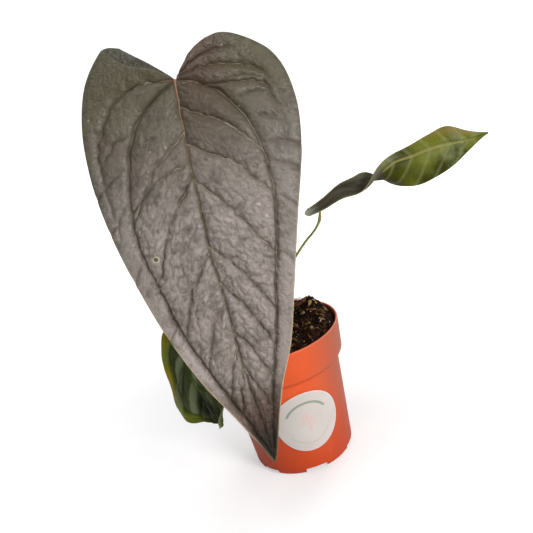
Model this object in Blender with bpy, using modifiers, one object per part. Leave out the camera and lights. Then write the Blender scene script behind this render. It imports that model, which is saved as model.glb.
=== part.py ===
# Potted anthurium: a young plant with three heart-shaped leaves in a small round nursery pot.
# Metres, +Z up. The origin is the centre of the pot's base, on the surface that it stands on.
# -Y is the front, where the round label is and where the large leaf hangs.
from math import cos, exp, hypot, pi, radians, sin
from random import Random

import bmesh
import bpy
from mathutils import Matrix, Vector

MM = 0.001
GAP = 0.3 * MM

# Nursery pot: a cone with a deep, slightly wider collar
POT_HEIGHT = 73.4 * MM
RIM_RADIUS = 35.0 * MM
COLLAR_HEIGHT = 17.6 * MM
COLLAR_FOOT_RADIUS = 33.5 * MM
BODY_TOP_RADIUS = 30.6 * MM
BASE_RADIUS = 26.6 * MM
POT_WALL = 1.1 * MM
POT_FLOOR = 1.4 * MM
BASE_EDGE = 1.0 * MM
DRAIN_COUNT = 6
DRAIN_WIDTH = 9.0 * MM
DRAIN_HEIGHT = 2.2 * MM
DRAIN_REACH = 5.0 * MM
DRAIN_TURN = 8.0

# Round sticker on the pot's body
LABEL_RADIUS = 17.3 * MM
LABEL_HEIGHT = 31.2 * MM
LABEL_ANGLE = 10.5
LABEL_THICKNESS = 0.3 * MM

# Potting mix, heaped a little above the rim
MIX_BELOW_RIM = 3.4 * MM
HEAP_HEIGHT = 14.0 * MM
HEAP_SPREAD = 15.0 * MM
HEAP_X = 13.0 * MM
HEAP_Y = 8.0 * MM

# Short stem in the middle of the mix
STEM_X = 3.0 * MM
STEM_Y = 4.0 * MM
STEM_RADIUS = 5.2 * MM
STEM_TOP_RADIUS = 4.5 * MM
STEM_ABOVE_MIX = 5.0 * MM
STEM_BELOW_MIX = 16.0 * MM

# Leaf stalks and blades
LARGE_STALK_RADIUS = 1.7 * MM
OLD_STALK_RADIUS = 1.1 * MM
NEW_STALK_RADIUS = 0.65 * MM
LEAF_THICKNESS = 0.8 * MM
LARGE_LEAF_LENGTH = 177.0 * MM
LARGE_LEAF_WIDTH = 98.0 * MM
OLD_LEAF_LENGTH = 55.0 * MM
OLD_LEAF_WIDTH = 39.0 * MM
OLD_LEAF_CLEARANCE = 9.7 * MM
NEW_LEAF_LENGTH = 98.0 * MM
NEW_LEAF_WIDTH = 22.0 * MM

# Heights of the leaves' bases above the rim, so they follow a taller or shorter pot
LARGE_LEAF_RISE = 137.7 * MM
OLD_LEAF_RISE = 15.0 * MM
NEW_LEAF_RISE = 56.0 * MM

ROOT_RADIUS = 1.1 * MM
ROOT_DEPTH = 3.4 * MM


def clear_scene():
    for obj in list(bpy.data.objects):
        bpy.data.objects.remove(obj, do_unlink=True)


def new_collection(name):
    collection = bpy.data.collections.new(name)
    bpy.context.scene.collection.children.link(collection)
    return collection


def new_material(name, colour, roughness, metallic=0.0):
    material = bpy.data.materials.new(name)
    material.use_nodes = True
    shader = material.node_tree.nodes["Principled BSDF"]
    shader.inputs["Base Color"].default_value = (*colour, 1.0)
    shader.inputs["Roughness"].default_value = roughness
    shader.inputs["Metallic"].default_value = metallic
    return material


def add_object(name, data, collection, material=None):
    obj = bpy.data.objects.new(name, data)
    collection.objects.link(obj)
    if material:
        data.materials.append(material)
    return obj


def make_mesh(obj):
    """Turns an object into a plain mesh of what its modifiers make, with loose caps welded."""
    bpy.context.view_layer.update()
    graph = bpy.context.evaluated_depsgraph_get()
    mesh = bpy.data.meshes.new_from_object(obj.evaluated_get(graph))
    bm = bmesh.new()
    bm.from_mesh(mesh)
    bmesh.ops.remove_doubles(bm, verts=bm.verts, dist=0.00001)
    bmesh.ops.recalc_face_normals(bm, faces=bm.faces)
    bm.to_mesh(mesh)
    bm.free()
    name = obj.name
    matrix = obj.matrix_world.copy()
    collection = obj.users_collection[0]
    materials = list(obj.data.materials)
    bpy.data.objects.remove(obj, do_unlink=True)
    plain = bpy.data.objects.new(name, mesh)
    collection.objects.link(plain)
    plain.matrix_world = matrix
    mesh.materials.clear()
    for material in materials:
        mesh.materials.append(material)
    return plain


def as_cutter(obj):
    obj.hide_render = True
    obj.display_type = "WIRE"
    return obj


def cut(target, cutter, operation="DIFFERENCE"):
    modifier = target.modifiers.new("cut", "BOOLEAN")
    modifier.object = cutter
    modifier.operation = operation
    modifier.solver = "EXACT"


def turned(name, profile, centre, steps, collection, material):
    """A turned shape. The profile runs down its outer side, from the axis or back to it."""
    mesh = bpy.data.meshes.new(name)
    edges = [(i, i + 1) for i in range(len(profile) - 1)]
    mesh.from_pydata([(radius, 0, z) for radius, z in profile], edges, [])
    obj = add_object(name, mesh, collection, material)
    obj.location = (*centre, 0)
    screw = obj.modifiers.new("turn", "SCREW")
    screw.steps = steps
    screw.render_steps = steps
    screw.use_merge_vertices = True
    screw.merge_threshold = 0.00001
    screw.use_smooth_shade = True
    return obj


def tube(name, points, radii, collection, material, sides=2):
    """A round stalk through these points, with a radius at each one."""
    curve = bpy.data.curves.new(name, "CURVE")
    curve.dimensions = "3D"
    curve.bevel_depth = 1.0
    curve.bevel_resolution = sides
    curve.use_fill_caps = True
    spline = curve.splines.new("POLY")
    spline.points.add(len(points) - 1)
    for target, point, radius in zip(spline.points, points, radii):
        target.co = (*point, 1)
        target.radius = radius
    obj = add_object(name, curve, collection, material)
    return make_mesh(obj)


def smooth_path(points, steps):
    """Points along a smooth curve through the given ones."""
    points = [Vector(point) for point in points]
    ends = [points[0] * 2 - points[1], *points, points[-1] * 2 - points[-2]]
    found = []
    for before, start, end, after in zip(ends, ends[1:], ends[2:], ends[3:]):
        for step in range(steps):
            t = step / steps
            linear = (end - before) * t
            square = (2 * before - 5 * start + 4 * end - after) * t * t
            cube = (3 * start - before - 3 * end + after) * t**3
            found.append(start + (linear + square + cube) / 2)
    found.append(points[-1])
    return found


def blend(values, t):
    """Reads a smooth value at t, from 0 to 1, off evenly spaced ones."""
    place = min(max(t, 0.0), 1.0) * (len(values) - 1)
    i = min(int(place), len(values) - 2)
    t = place - i
    before = values[max(i - 1, 0)]
    start = values[i]
    end = values[i + 1]
    after = values[min(i + 2, len(values) - 1)]
    square = (2 * before - 5 * start + 4 * end - after) * t * t
    cube = (3 * start - before - 3 * end + after) * t**3
    return start + ((end - before) * t + square + cube) / 2


# ---- pot ----

COLLAR_Z = POT_HEIGHT - COLLAR_HEIGHT
BASE_SLOPE = (BODY_TOP_RADIUS - BASE_RADIUS) / COLLAR_Z


def body_radius(z):
    return BASE_RADIUS + BASE_SLOPE * z


def make_pot(parts, cutters, material):
    inner_base = body_radius(POT_FLOOR) - POT_WALL
    shelf = COLLAR_Z + POT_WALL
    profile = [
        (0, POT_FLOOR),
        (inner_base - BASE_EDGE, POT_FLOOR),
        (inner_base, POT_FLOOR + BASE_EDGE),
        (BODY_TOP_RADIUS - POT_WALL, shelf - POT_WALL),
        (COLLAR_FOOT_RADIUS - POT_WALL, shelf + POT_WALL),
        (RIM_RADIUS - POT_WALL, POT_HEIGHT - POT_WALL / 3),
        (RIM_RADIUS - POT_WALL * 0.7, POT_HEIGHT),
        (RIM_RADIUS - POT_WALL * 0.3, POT_HEIGHT),
        (RIM_RADIUS, POT_HEIGHT - POT_WALL / 3),
        (COLLAR_FOOT_RADIUS, COLLAR_Z + POT_WALL),
        (COLLAR_FOOT_RADIUS - POT_WALL, COLLAR_Z - POT_WALL / 2),
        (BODY_TOP_RADIUS, COLLAR_Z - 2 * POT_WALL),
        (body_radius(BASE_EDGE), BASE_EDGE),
        (BASE_RADIUS - BASE_EDGE, 0),
        (0, 0),
    ]
    pot = turned("pot", profile, (0, 0), 72, parts, material)
    for i in range(DRAIN_COUNT):
        angle = radians(DRAIN_TURN + i * 360 / DRAIN_COUNT - 90)
        bpy.ops.mesh.primitive_cube_add(size=1)
        notch = bpy.context.object
        notch.name = f"drain_cutter_{i + 1}"
        for collection in notch.users_collection:
            collection.objects.unlink(notch)
        cutters.objects.link(notch)
        size = Matrix.Diagonal((2 * DRAIN_REACH, DRAIN_WIDTH, 2 * DRAIN_HEIGHT, 1))
        place = Matrix.Translation((BASE_RADIUS * cos(angle), BASE_RADIUS * sin(angle), 0))
        notch.matrix_world = place @ Matrix.Rotation(angle, 4, "Z") @ size
        cut(pot, as_cutter(notch))
    return pot


def make_label(parts, material):
    """A thin round sticker that follows the pot's cone."""
    bm = bmesh.new()
    bmesh.ops.create_circle(bm, cap_ends=True, cap_tris=True, segments=48, radius=LABEL_RADIUS)
    rings = [edge for edge in bm.edges if len(edge.link_faces) == 2]
    bmesh.ops.subdivide_edges(bm, edges=rings, cuts=3)
    bmesh.ops.triangulate(bm, faces=bm.faces)
    centre_angle = radians(LABEL_ANGLE - 90)
    lean = Vector((1, BASE_SLOPE)).normalized()
    for vert in bm.verts:
        z = LABEL_HEIGHT + vert.co.y * lean.x
        radius = body_radius(z) + GAP * 1.5
        angle = centre_angle + vert.co.x / body_radius(LABEL_HEIGHT)
        vert.co = (radius * cos(angle), radius * sin(angle), z)
    bmesh.ops.recalc_face_normals(bm, faces=bm.faces)
    mesh = bpy.data.meshes.new("pot_label")
    bm.to_mesh(mesh)
    bm.free()
    label = add_object("pot_label", mesh, parts, material)
    outward = mesh.polygons[0].normal.dot(mesh.polygons[0].center) > 0
    skin = label.modifiers.new("thickness", "SOLIDIFY")
    skin.thickness = LABEL_THICKNESS
    skin.offset = 1 if outward else -1
    return label


# ---- potting mix ----

MIX_RADIUS = RIM_RADIUS - POT_WALL - 2 * GAP
MIX_TOP = POT_HEIGHT - MIX_BELOW_RIM


def mix_height(x, y):
    """The height of the mix's surface: a heap behind and to the right of the stem."""
    heap = exp(-((x - HEAP_X) ** 2 + (y - HEAP_Y) ** 2) / (2 * HEAP_SPREAD**2))
    edge = 1 - min(hypot(x, y) / MIX_RADIUS, 1) ** 6
    return MIX_TOP + HEAP_HEIGHT * heap * edge


def mix_normal(x, y):
    step = 0.5 * MM
    slope_x = (mix_height(x + step, y) - mix_height(x - step, y)) / (2 * step)
    slope_y = (mix_height(x, y + step) - mix_height(x, y - step)) / (2 * step)
    return Vector((-slope_x, -slope_y, 1)).normalized()


def make_mix(parts, material):
    inner_base = body_radius(POT_FLOOR) - POT_WALL - GAP
    side = BODY_TOP_RADIUS - POT_WALL - GAP
    collar = COLLAR_FOOT_RADIUS - POT_WALL - 2 * GAP
    rim = collar + (RIM_RADIUS - COLLAR_FOOT_RADIUS) * (1 - MIX_BELOW_RIM / COLLAR_HEIGHT)
    top_rings = 8
    profile = [(rim * i / top_rings, MIX_TOP) for i in range(top_rings + 1)]
    profile += [
        (collar, COLLAR_Z + 2 * POT_WALL + GAP),
        (side, COLLAR_Z + GAP),
        (inner_base - GAP, POT_FLOOR + BASE_EDGE + GAP),
        (inner_base - BASE_EDGE - GAP, POT_FLOOR + GAP),
        (0, POT_FLOOR + GAP),
    ]
    mix = turned("potting_mix", profile, (0, 0), 48, parts, material)
    mix = make_mesh(mix)
    for vert in mix.data.vertices:
        if abs(vert.co.z - MIX_TOP) < 0.01 * MM:
            vert.co.z = mix_height(vert.co.x, vert.co.y)
    return mix


STEM_BASE_Z = mix_height(STEM_X, STEM_Y)
STEM_TOP_Z = STEM_BASE_Z + STEM_ABOVE_MIX


def stem_profile(extra):
    bottom = STEM_BASE_Z - STEM_BELOW_MIX - extra
    return [
        (0, STEM_TOP_Z + extra),
        (STEM_TOP_RADIUS - 0.6 * MM + extra, STEM_TOP_Z + extra),
        (STEM_TOP_RADIUS + extra, STEM_TOP_Z - 0.6 * MM),
        (STEM_RADIUS + extra, STEM_BASE_Z - 1.0 * MM),
        (STEM_RADIUS - 0.9 * MM + extra, bottom + 2 * MM),
        (STEM_RADIUS - 2.4 * MM + extra, bottom),
        (0, bottom),
    ]


def make_stem(parts, cutters, mix, material):
    stem = turned("stem", stem_profile(0), (STEM_X, STEM_Y), 20, parts, material)
    pocket = turned("stem_pocket", stem_profile(GAP), (STEM_X, STEM_Y), 20, cutters, None)
    cut(mix, as_cutter(make_mesh(pocket)))
    return stem


ROOTS = [
    # direction in degrees, reach from the stem and rise over the mix
    (-62, 15.0 * MM, 2.4 * MM),
    (-8, 17.0 * MM, 2.2 * MM),
    (58, 14.0 * MM, 2.6 * MM),
    (128, 16.0 * MM, 2.4 * MM),
    (206, 17.0 * MM, 2.6 * MM),
]


def make_roots(parts, cutters, mix, material):
    """Aerial roots that leave the stem, arch over the mix and dive into it."""
    for i, (direction, reach, rise) in enumerate(ROOTS):
        angle = radians(direction)
        start = STEM_RADIUS + 2 * GAP
        path = []
        for step in range(10):
            t = step / 9
            distance = start + reach * t**0.9
            turn = angle + 0.25 * t * t
            x = STEM_X + distance * cos(turn)
            y = STEM_Y + distance * sin(turn)
            lift = rise - (rise + ROOT_DEPTH) * t * t
            path.append(Vector((x, y, mix_height(x, y) + lift)))
        radii = [ROOT_RADIUS * (1.1 - 0.3 * step / 9) for step in range(10)]
        tube(f"aerial_root_{i + 1}", path, radii, parts, material, 1)
        wide = [radius + GAP for radius in radii]
        end = path[-1] + (path[-1] - path[-2]).normalized() * 2 * GAP
        pocket = tube(f"root_pocket_{i + 1}", [*path, end], [*wide, wide[-1]], cutters, None, 1)
        cut(mix, as_cutter(pocket))


# ---- loose pieces on the mix: position as (distance from the axis / mix radius, degrees) ----

CHIPS = [
    (0.84, -66, 6.4, 3.6),
    (0.88, -28, 5.2, 3.0),
    (0.62, -46, 5.6, 3.4),
    (0.78, 14, 6.0, 3.2),
    (0.66, 44, 5.0, 3.0),
    (0.86, 66, 5.6, 3.4),
    (0.74, 96, 6.2, 3.4),
    (0.62, 158, 5.4, 3.2),
    (0.86, 178, 5.8, 3.4),
    (0.80, 232, 6.2, 3.6),
    (0.62, 252, 5.2, 3.2),
]
CHIP_THICKNESS = 1.8 * MM
GRAINS = [
    ("perlite_1", 0.90, -84, 1.3),
    ("perlite_2", 0.72, -82, 1.5),
    ("perlite_3", 0.46, 22, 1.4),
    ("perlite_4", 0.86, 36, 1.3),
    ("perlite_5", 0.80, 130, 1.5),
    ("perlite_6", 0.84, 205, 1.4),
    ("fertiliser_granule_1", 0.56, -16, 1.1),
    ("fertiliser_granule_2", 0.60, 24, 1.1),
    ("fertiliser_granule_3", 0.60, 226, 1.1),
]
FIBRES = [
    # start and end as (distance from the axis / mix radius, degrees)
    ((0.40, -88), (0.72, -62)),
    ((0.60, -12), (0.90, -6)),
    ((0.62, 118), (0.84, 112)),
]
FIBRE_RADIUS = 0.45 * MM


def on_mix(share, degrees):
    angle = radians(degrees)
    return share * MIX_RADIUS * cos(angle), share * MIX_RADIUS * sin(angle)


def rest_on_mix(bm, x, y, turn):
    """Turns a loose piece to the mix's slope and lifts it until its lowest point clears the mix."""
    slope = Vector((0, 0, 1)).rotation_difference(mix_normal(x, y)).to_matrix().to_4x4()
    place = Matrix.Translation((x, y, mix_height(x, y)))
    bmesh.ops.transform(bm, matrix=place @ slope @ Matrix.Rotation(turn, 4, "Z"), verts=bm.verts)
    sunk = max(mix_height(vert.co.x, vert.co.y) - vert.co.z for vert in bm.verts)
    bmesh.ops.translate(bm, vec=(0, 0, sunk + GAP), verts=bm.verts)


def finish_loose(name, bm, parts, material):
    mesh = bpy.data.meshes.new(name)
    bm.to_mesh(mesh)
    bm.free()
    return add_object(name, mesh, parts, material)


def make_chips(parts, material):
    random = Random(4)
    for i, (share, degrees, length, width) in enumerate(CHIPS):
        x, y = on_mix(share, degrees)
        bm = bmesh.new()
        bmesh.ops.create_cube(bm, size=1)
        bmesh.ops.scale(bm, vec=(length * MM, width * MM, CHIP_THICKNESS), verts=bm.verts)
        for vert in bm.verts:
            vert.co += Vector(random.uniform(-0.4, 0.4) * MM for _ in range(3))
        rest_on_mix(bm, x, y, random.uniform(0, pi))
        name = f"bark_chip_{i + 1}"
        chip = finish_loose(name, bm, parts, material)
        rounded = chip.modifiers.new("worn_edges", "BEVEL")
        rounded.width = 0.35 * MM
        rounded.segments = 1


def make_grains(parts, white, green):
    random = Random(9)
    for name, share, degrees, radius in GRAINS:
        x, y = on_mix(share, degrees)
        loose = name.startswith("perlite")
        bm = bmesh.new()
        bmesh.ops.create_icosphere(bm, subdivisions=1 if loose else 2, radius=radius * MM)
        for vert in bm.verts:
            vert.co *= random.uniform(0.78, 1.1) if loose else 1.0
        rest_on_mix(bm, x, y, random.uniform(0, pi))
        finish_loose(name, bm, parts, white if loose else green)


def make_fibres(parts, material):
    for i, (start, end) in enumerate(FIBRES):
        first = Vector(on_mix(*start))
        last = Vector(on_mix(*end))
        path = []
        for step in range(7):
            t = step / 6
            point = first.lerp(last, t)
            lift = FIBRE_RADIUS + 2 * GAP + 0.8 * MM * sin(pi * t)
            path.append(Vector((point.x, point.y, mix_height(point.x, point.y) + lift)))
        tube(f"coir_fibre_{i + 1}", path, [FIBRE_RADIUS] * 7, parts, material, 1)


# ---- leaves ----


def flat_blade(name, outline, length, width, cell, collection, cutters, material):
    """A flat blade in its own plane: the base at the origin, the tip at -Y, X across.

    The outline is in shares of the length and of half the width. It is cut out of a thin slab,
    whose grid lets the blade bend afterwards.
    """
    curve = bpy.data.curves.new(name + "_outline", "CURVE")
    curve.dimensions = "2D"
    curve.fill_mode = "BOTH"
    curve.extrude = 5 * MM
    curve.resolution_u = 4
    spline = curve.splines.new("BEZIER")
    spline.use_cyclic_u = True
    spline.bezier_points.add(len(outline) - 1)
    for point, (across, down, sharp) in zip(spline.bezier_points, outline):
        point.co = (across * width / 2, -down * length, 0)
        point.handle_left_type = "VECTOR" if sharp else "AUTO"
        point.handle_right_type = "VECTOR" if sharp else "AUTO"
    prism = as_cutter(make_mesh(add_object(name + "_outline", curve, cutters)))
    bm = bmesh.new()
    columns = round(width * 1.16 / cell)
    rows = round(length * 1.24 / cell)
    bmesh.ops.create_grid(bm, x_segments=columns, y_segments=rows, size=0.5)
    bmesh.ops.scale(bm, vec=(width * 1.16, length * 1.24, 1), verts=bm.verts)
    bmesh.ops.translate(bm, vec=(0, -length * 0.47, 0), verts=bm.verts)
    mesh = bpy.data.meshes.new(name)
    bm.to_mesh(mesh)
    bm.free()
    blade = add_object(name, mesh, collection, material)
    skin = blade.modifiers.new("thickness", "SOLIDIFY")
    skin.thickness = LEAF_THICKNESS
    skin.offset = 0
    cut(blade, prism, "INTERSECT")
    return make_mesh(blade)


def bend_blade(blade, surface):
    """Moves each point of a flat blade to surface(across, down), keeping the thickness."""
    step = 0.2 * MM
    for vert in blade.data.vertices:
        across = vert.co.x
        down = -vert.co.y
        centre = surface(across, down)
        side = surface(across + step, down) - centre
        fall = surface(across, down + step) - centre
        face = fall.cross(side).normalized()
        vert.co = centre + face * vert.co.z


# Each outline runs from the sinus, over the left lobe, down to the tip and back up the right side
LARGE_OUTLINE = [
    (0.00, 0.000, True),
    (-0.22, -0.062, False),
    (-0.44, -0.116, False),
    (-0.65, -0.104, False),
    (-0.85, -0.034, False),
    (-0.95, 0.100, False),
    (-0.97, 0.220, False),
    (-0.92, 0.340, False),
    (-0.82, 0.470, False),
    (-0.67, 0.615, False),
    (-0.47, 0.755, False),
    (-0.27, 0.860, False),
    (-0.11, 0.940, False),
    (-0.02, 1.000, True),
    (0.08, 0.925, False),
    (0.23, 0.820, False),
    (0.41, 0.715, False),
    (0.57, 0.580, False),
    (0.75, 0.425, False),
    (0.92, 0.275, False),
    (1.02, 0.125, False),
    (0.97, 0.005, False),
    (0.82, -0.040, False),
    (0.58, -0.080, False),
    (0.36, -0.080, False),
    (0.17, -0.050, False),
]
OLD_OUTLINE = [
    (0.08, 0.000, True),
    (-0.02, -0.100, False),
    (-0.18, -0.130, False),
    (-0.45, -0.060, False),
    (-0.64, 0.080, False),
    (-0.79, 0.220, False),
    (-0.85, 0.440, False),
    (-0.88, 0.600, False),
    (-0.99, 0.780, False),
    (-0.88, 0.890, False),
    (-0.50, 0.940, False),
    (-0.10, 0.905, False),
    (0.20, 0.930, False),
    (0.44, 0.980, True),
    (0.70, 0.820, False),
    (0.92, 0.600, False),
    (1.00, 0.360, False),
    (0.97, 0.120, False),
    (0.80, -0.060, False),
    (0.50, -0.130, False),
    (0.22, -0.090, False),
]

LARGE_BASE = Vector((-10.8 * MM, -18.0 * MM, POT_HEIGHT + LARGE_LEAF_RISE))
LARGE_TILT_TOP = 27.0
LARGE_TILT_TIP = 9.0
LARGE_LEAN = 0.013


def large_tilt(down):
    """The blade's angle from the vertical, in radians, this far below its base."""
    return radians(LARGE_TILT_TOP + (LARGE_TILT_TIP - LARGE_TILT_TOP) * down / LARGE_LEAF_LENGTH)


def large_surface(across, down):
    """The large blade hangs forwards, arched from base to tip and drooping to both sides."""
    start = radians(LARGE_TILT_TOP)
    rate = (large_tilt(down) - start) / down if abs(down) > 1e-6 else -1e-6
    forward = (cos(start) - cos(start + rate * down)) / rate
    fall = (sin(start + rate * down) - sin(start)) / rate
    tilt = large_tilt(down)
    half = LARGE_LEAF_WIDTH / 2
    droop = -6.0 * MM * (across / half) ** 2 - 1.4 * MM * exp(-((across / (6 * MM)) ** 2))
    face = Vector((0, -cos(tilt), sin(tilt)))
    spine = LARGE_BASE + Vector((across - LARGE_LEAN * down, -forward, -fall))
    return spine + face * (droop + 1.4 * MM)


OLD_ACROSS = Vector((0.8, -0.6, 0))
OLD_FACE = Vector((-0.6, -0.8, 0))
OLD_REACH = RIM_RADIUS + OLD_LEAF_CLEARANCE
OLD_BASE = Vector((-1.02 * OLD_REACH, -0.342 * OLD_REACH, POT_HEIGHT + OLD_LEAF_RISE))


def old_surface(across, down):
    """The old blade hangs at the pot's side, cupped, with its lower end turned back."""
    half = OLD_LEAF_WIDTH / 2
    cup = 2.0 * MM * (1 - exp(-((across / (5 * MM)) ** 2))) - 4.0 * MM * (across / half) ** 2
    turned_back = max(down / OLD_LEAF_LENGTH - 0.6, 0) ** 2 * 26 * MM
    fold = 0.8 * MM * cos(across / half * 9) * down / OLD_LEAF_LENGTH
    place = OLD_BASE + OLD_ACROSS * across + Vector((0, 0, -down))
    return place + OLD_FACE * (cup + fold - turned_back)


NEW_BASE = Vector((31.7 * MM, 0, POT_HEIGHT + NEW_LEAF_RISE))
# Along the new leaf, base to tip: rise of its middle in mm, half width, curl and turn in degrees
NEW_RISE = [0.0, 2.4, 6.1, 6.6, 9.1, 8.7, 8.8, 11.0, 13.6, 14.1, 14.9]
NEW_HALF = [0.12, 0.51, 0.79, 0.92, 0.62, 0.78, 0.94, 1.00, 0.92, 0.42, 0.04]
NEW_CURL = [250, 270, 280, 270, 220, 80, 50, 40, 30, 24, 20]
NEW_TURN = [200, 205, 215, 232, 262, 350, 366, 366, 364, 364, 368]
NEW_STATIONS = 28
NEW_CUTS = 10


def rolled_blade(name, parts, material):
    """The young blade: its base half is still rolled up, and its tip half has opened."""
    bm = bmesh.new()
    rows = []
    for i in range(NEW_STATIONS + 1):
        t = i / NEW_STATIONS
        rise = blend(NEW_RISE, t) * MM
        half = blend(NEW_HALF, t) * NEW_LEAF_WIDTH / 2
        bend = radians(blend(NEW_CURL, t)) / (2 * half)
        turn = radians(blend(NEW_TURN, t))
        row = []
        for j in range(NEW_CUTS + 1):
            along = half * (2 * j / NEW_CUTS - 1)
            up = sin(bend * along) / bend
            out = (1 - cos(bend * along)) / bend - (1 - cos(bend * half)) / (2 * bend)
            y = cos(turn) * out + sin(turn) * up
            z = cos(turn) * up - sin(turn) * out
            place = NEW_BASE + Vector((NEW_LEAF_LENGTH * t, y, rise + z))
            row.append(bm.verts.new(place))
        rows.append(row)
    for first, second in zip(rows, rows[1:]):
        for j in range(NEW_CUTS):
            bm.faces.new((first[j], first[j + 1], second[j + 1], second[j]))
    mesh = bpy.data.meshes.new(name)
    bm.to_mesh(mesh)
    bm.free()
    blade = add_object(name, mesh, parts, material)
    skin = blade.modifiers.new("thickness", "SOLIDIFY")
    skin.thickness = LEAF_THICKNESS
    skin.offset = 0
    return make_mesh(blade)


def stalk(name, points, radius, parts, material):
    """A leaf stalk, with the swollen joint that an anthurium has just below each blade."""
    path = smooth_path(points, 6)
    count = len(path) - 1
    radii = []
    for i in range(count + 1):
        t = i / count
        swollen = 0.45 * exp(-(((t - 0.93) / 0.045) ** 2))
        radii.append(radius * (1.12 - 0.22 * t + swollen))
    return tube(name, path, radii, parts, material)


def stem_top(dx, dy):
    return Vector((STEM_X + dx * MM, STEM_Y + dy * MM, STEM_TOP_Z + GAP))


def make_leaves(parts, cutters, skins, stalk_skin):
    large = flat_blade(
        "leaf_large", LARGE_OUTLINE, LARGE_LEAF_LENGTH, LARGE_LEAF_WIDTH,
        6.6 * MM, parts, cutters, skins["large"],
    )
    bend_blade(large, large_surface)
    old = flat_blade(
        "leaf_old", OLD_OUTLINE, OLD_LEAF_LENGTH, OLD_LEAF_WIDTH,
        4.2 * MM, parts, cutters, skins["old"],
    )
    bend_blade(old, old_surface)
    rolled_blade("leaf_new", parts, skins["new"])

    behind = LEAF_THICKNESS / 2 + GAP
    large_top = large_surface(0, 1.5 * MM)
    tilt = large_tilt(0)
    back = Vector((0, cos(tilt), -sin(tilt)))
    large_end = large_top + back * (behind + 0.2 * MM)
    start = stem_top(-1.2, -1.2)
    high = large_end.z - start.z
    stalk(
        "petiole_large",
        [
            start,
            start + Vector((-0.3 * MM, 1 * MM, 0.22 * high)),
            start + Vector((-3 * MM, 1 * MM, 0.56 * high)),
            start + Vector((-9 * MM, -5 * MM, 0.86 * high)),
            large_end + back * 9 * MM + Vector((0.2 * MM, 0, -4 * MM)),
            large_end + back * 3 * MM,
            large_end,
        ],
        LARGE_STALK_RADIUS, parts, stalk_skin,
    )
    old_end = old_surface(2 * MM, 2 * MM) - OLD_FACE * (behind + 0.4 * MM)
    start = stem_top(-1.4, 2.4)
    stalk(
        "petiole_old",
        [
            start,
            start + Vector((-0.6 * MM, 0.2 * MM, 3 * MM)),
            start + Vector((-3.2 * MM, 1.0 * MM, 9 * MM)),
            start.lerp(old_end, 0.45) + Vector((0, 1 * MM, 13 * MM)),
            start.lerp(old_end, 0.8) + Vector((0, 1 * MM, 12 * MM)),
            old_end - OLD_FACE * 5 * MM + Vector((0, 0, 4 * MM)),
            old_end,
        ],
        OLD_STALK_RADIUS, parts, stalk_skin,
    )
    new_end = NEW_BASE + Vector((7.7 * MM, 0, -1.6 * MM))
    start = stem_top(2.4, 0.5)
    stalk(
        "petiole_new",
        [
            start,
            start + Vector((2.6 * MM, -1 * MM, 7 * MM)),
            new_end + Vector((-18 * MM, 0.6 * MM, -20 * MM)),
            new_end + Vector((-11 * MM, 0.4 * MM, -13.4 * MM)),
            new_end + Vector((-5.4 * MM, 0.2 * MM, -9 * MM)),
            new_end + Vector((-1.7 * MM, 0, -4.6 * MM)),
            new_end,
        ],
        NEW_STALK_RADIUS, parts, stalk_skin,
    )


SHEATHS = [
    # direction in degrees, height and share of a full turn
    (-150, 19.0 * MM, 0.22),
    (-66, 24.0 * MM, 0.18),
    (66, 16.0 * MM, 0.24),
]
SHEATH_THICKNESS = 0.5 * MM
SHEATH_LIFT = 2.6 * MM


def make_sheaths(parts, material):
    """Dry papery scales that stand round the stem, one by each leaf stalk."""
    low = STEM_BASE_Z + max(rise for _, _, rise in ROOTS) + ROOT_RADIUS + SHEATH_LIFT
    for i, (direction, height, share) in enumerate(SHEATHS):
        bm = bmesh.new()
        rows = []
        for step in range(9):
            t = step / 8
            radius = STEM_RADIUS + SHEATH_THICKNESS + 2 * GAP + 2.4 * MM * t * t
            spread = pi * share * (1 - 0.94 * t**1.6)
            row = []
            for j in range(7):
                angle = radians(direction) + spread * (j / 3 - 1)
                x = STEM_X + radius * cos(angle)
                y = STEM_Y + radius * sin(angle)
                row.append(bm.verts.new((x, y, low + height * t)))
            rows.append(row)
        for first, second in zip(rows, rows[1:]):
            for j in range(6):
                bm.faces.new((first[j], first[j + 1], second[j + 1], second[j]))
        mesh = bpy.data.meshes.new(f"sheath_{i + 1}")
        bm.to_mesh(mesh)
        bm.free()
        sheath = add_object(f"sheath_{i + 1}", mesh, parts, material)
        skin = sheath.modifiers.new("thickness", "SOLIDIFY")
        skin.thickness = SHEATH_THICKNESS
        skin.offset = 0


def main():
    clear_scene()
    parts = new_collection("potted_anthurium")
    cutters = new_collection("cutters")
    orange = new_material("pot_plastic", (0.62, 0.105, 0.035), 0.42)
    paper = new_material("label_paper", (0.62, 0.57, 0.53), 0.6)
    soil = new_material("potting_mix", (0.025, 0.012, 0.008), 0.95)
    bark = new_material("bark", (0.13, 0.055, 0.025), 0.85)
    perlite = new_material("perlite", (0.62, 0.56, 0.46), 0.9)
    granule = new_material("granule", (0.32, 0.33, 0.06), 0.5)
    fibre = new_material("coir", (0.34, 0.16, 0.07), 0.8)
    root = new_material("root", (0.42, 0.22, 0.13), 0.7)
    stem_skin = new_material("stem_skin", (0.14, 0.14, 0.04), 0.6)
    stalk_skin = new_material("stalk_skin", (0.20, 0.25, 0.05), 0.45)
    papery = new_material("papery_sheath", (0.36, 0.22, 0.11), 0.8)
    skins = {
        "large": new_material("leaf_dark", (0.10, 0.085, 0.07), 0.6),
        "old": new_material("leaf_green", (0.045, 0.075, 0.015), 0.35),
        "new": new_material("leaf_young", (0.14, 0.16, 0.03), 0.4),
    }
    make_pot(parts, cutters, orange)
    make_label(parts, paper)
    mix = make_mix(parts, soil)
    make_stem(parts, cutters, mix, stem_skin)
    make_roots(parts, cutters, mix, root)
    make_chips(parts, bark)
    make_grains(parts, perlite, granule)
    make_fibres(parts, fibre)
    make_leaves(parts, cutters, skins, stalk_skin)
    make_sheaths(parts, papery)


main()
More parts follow.
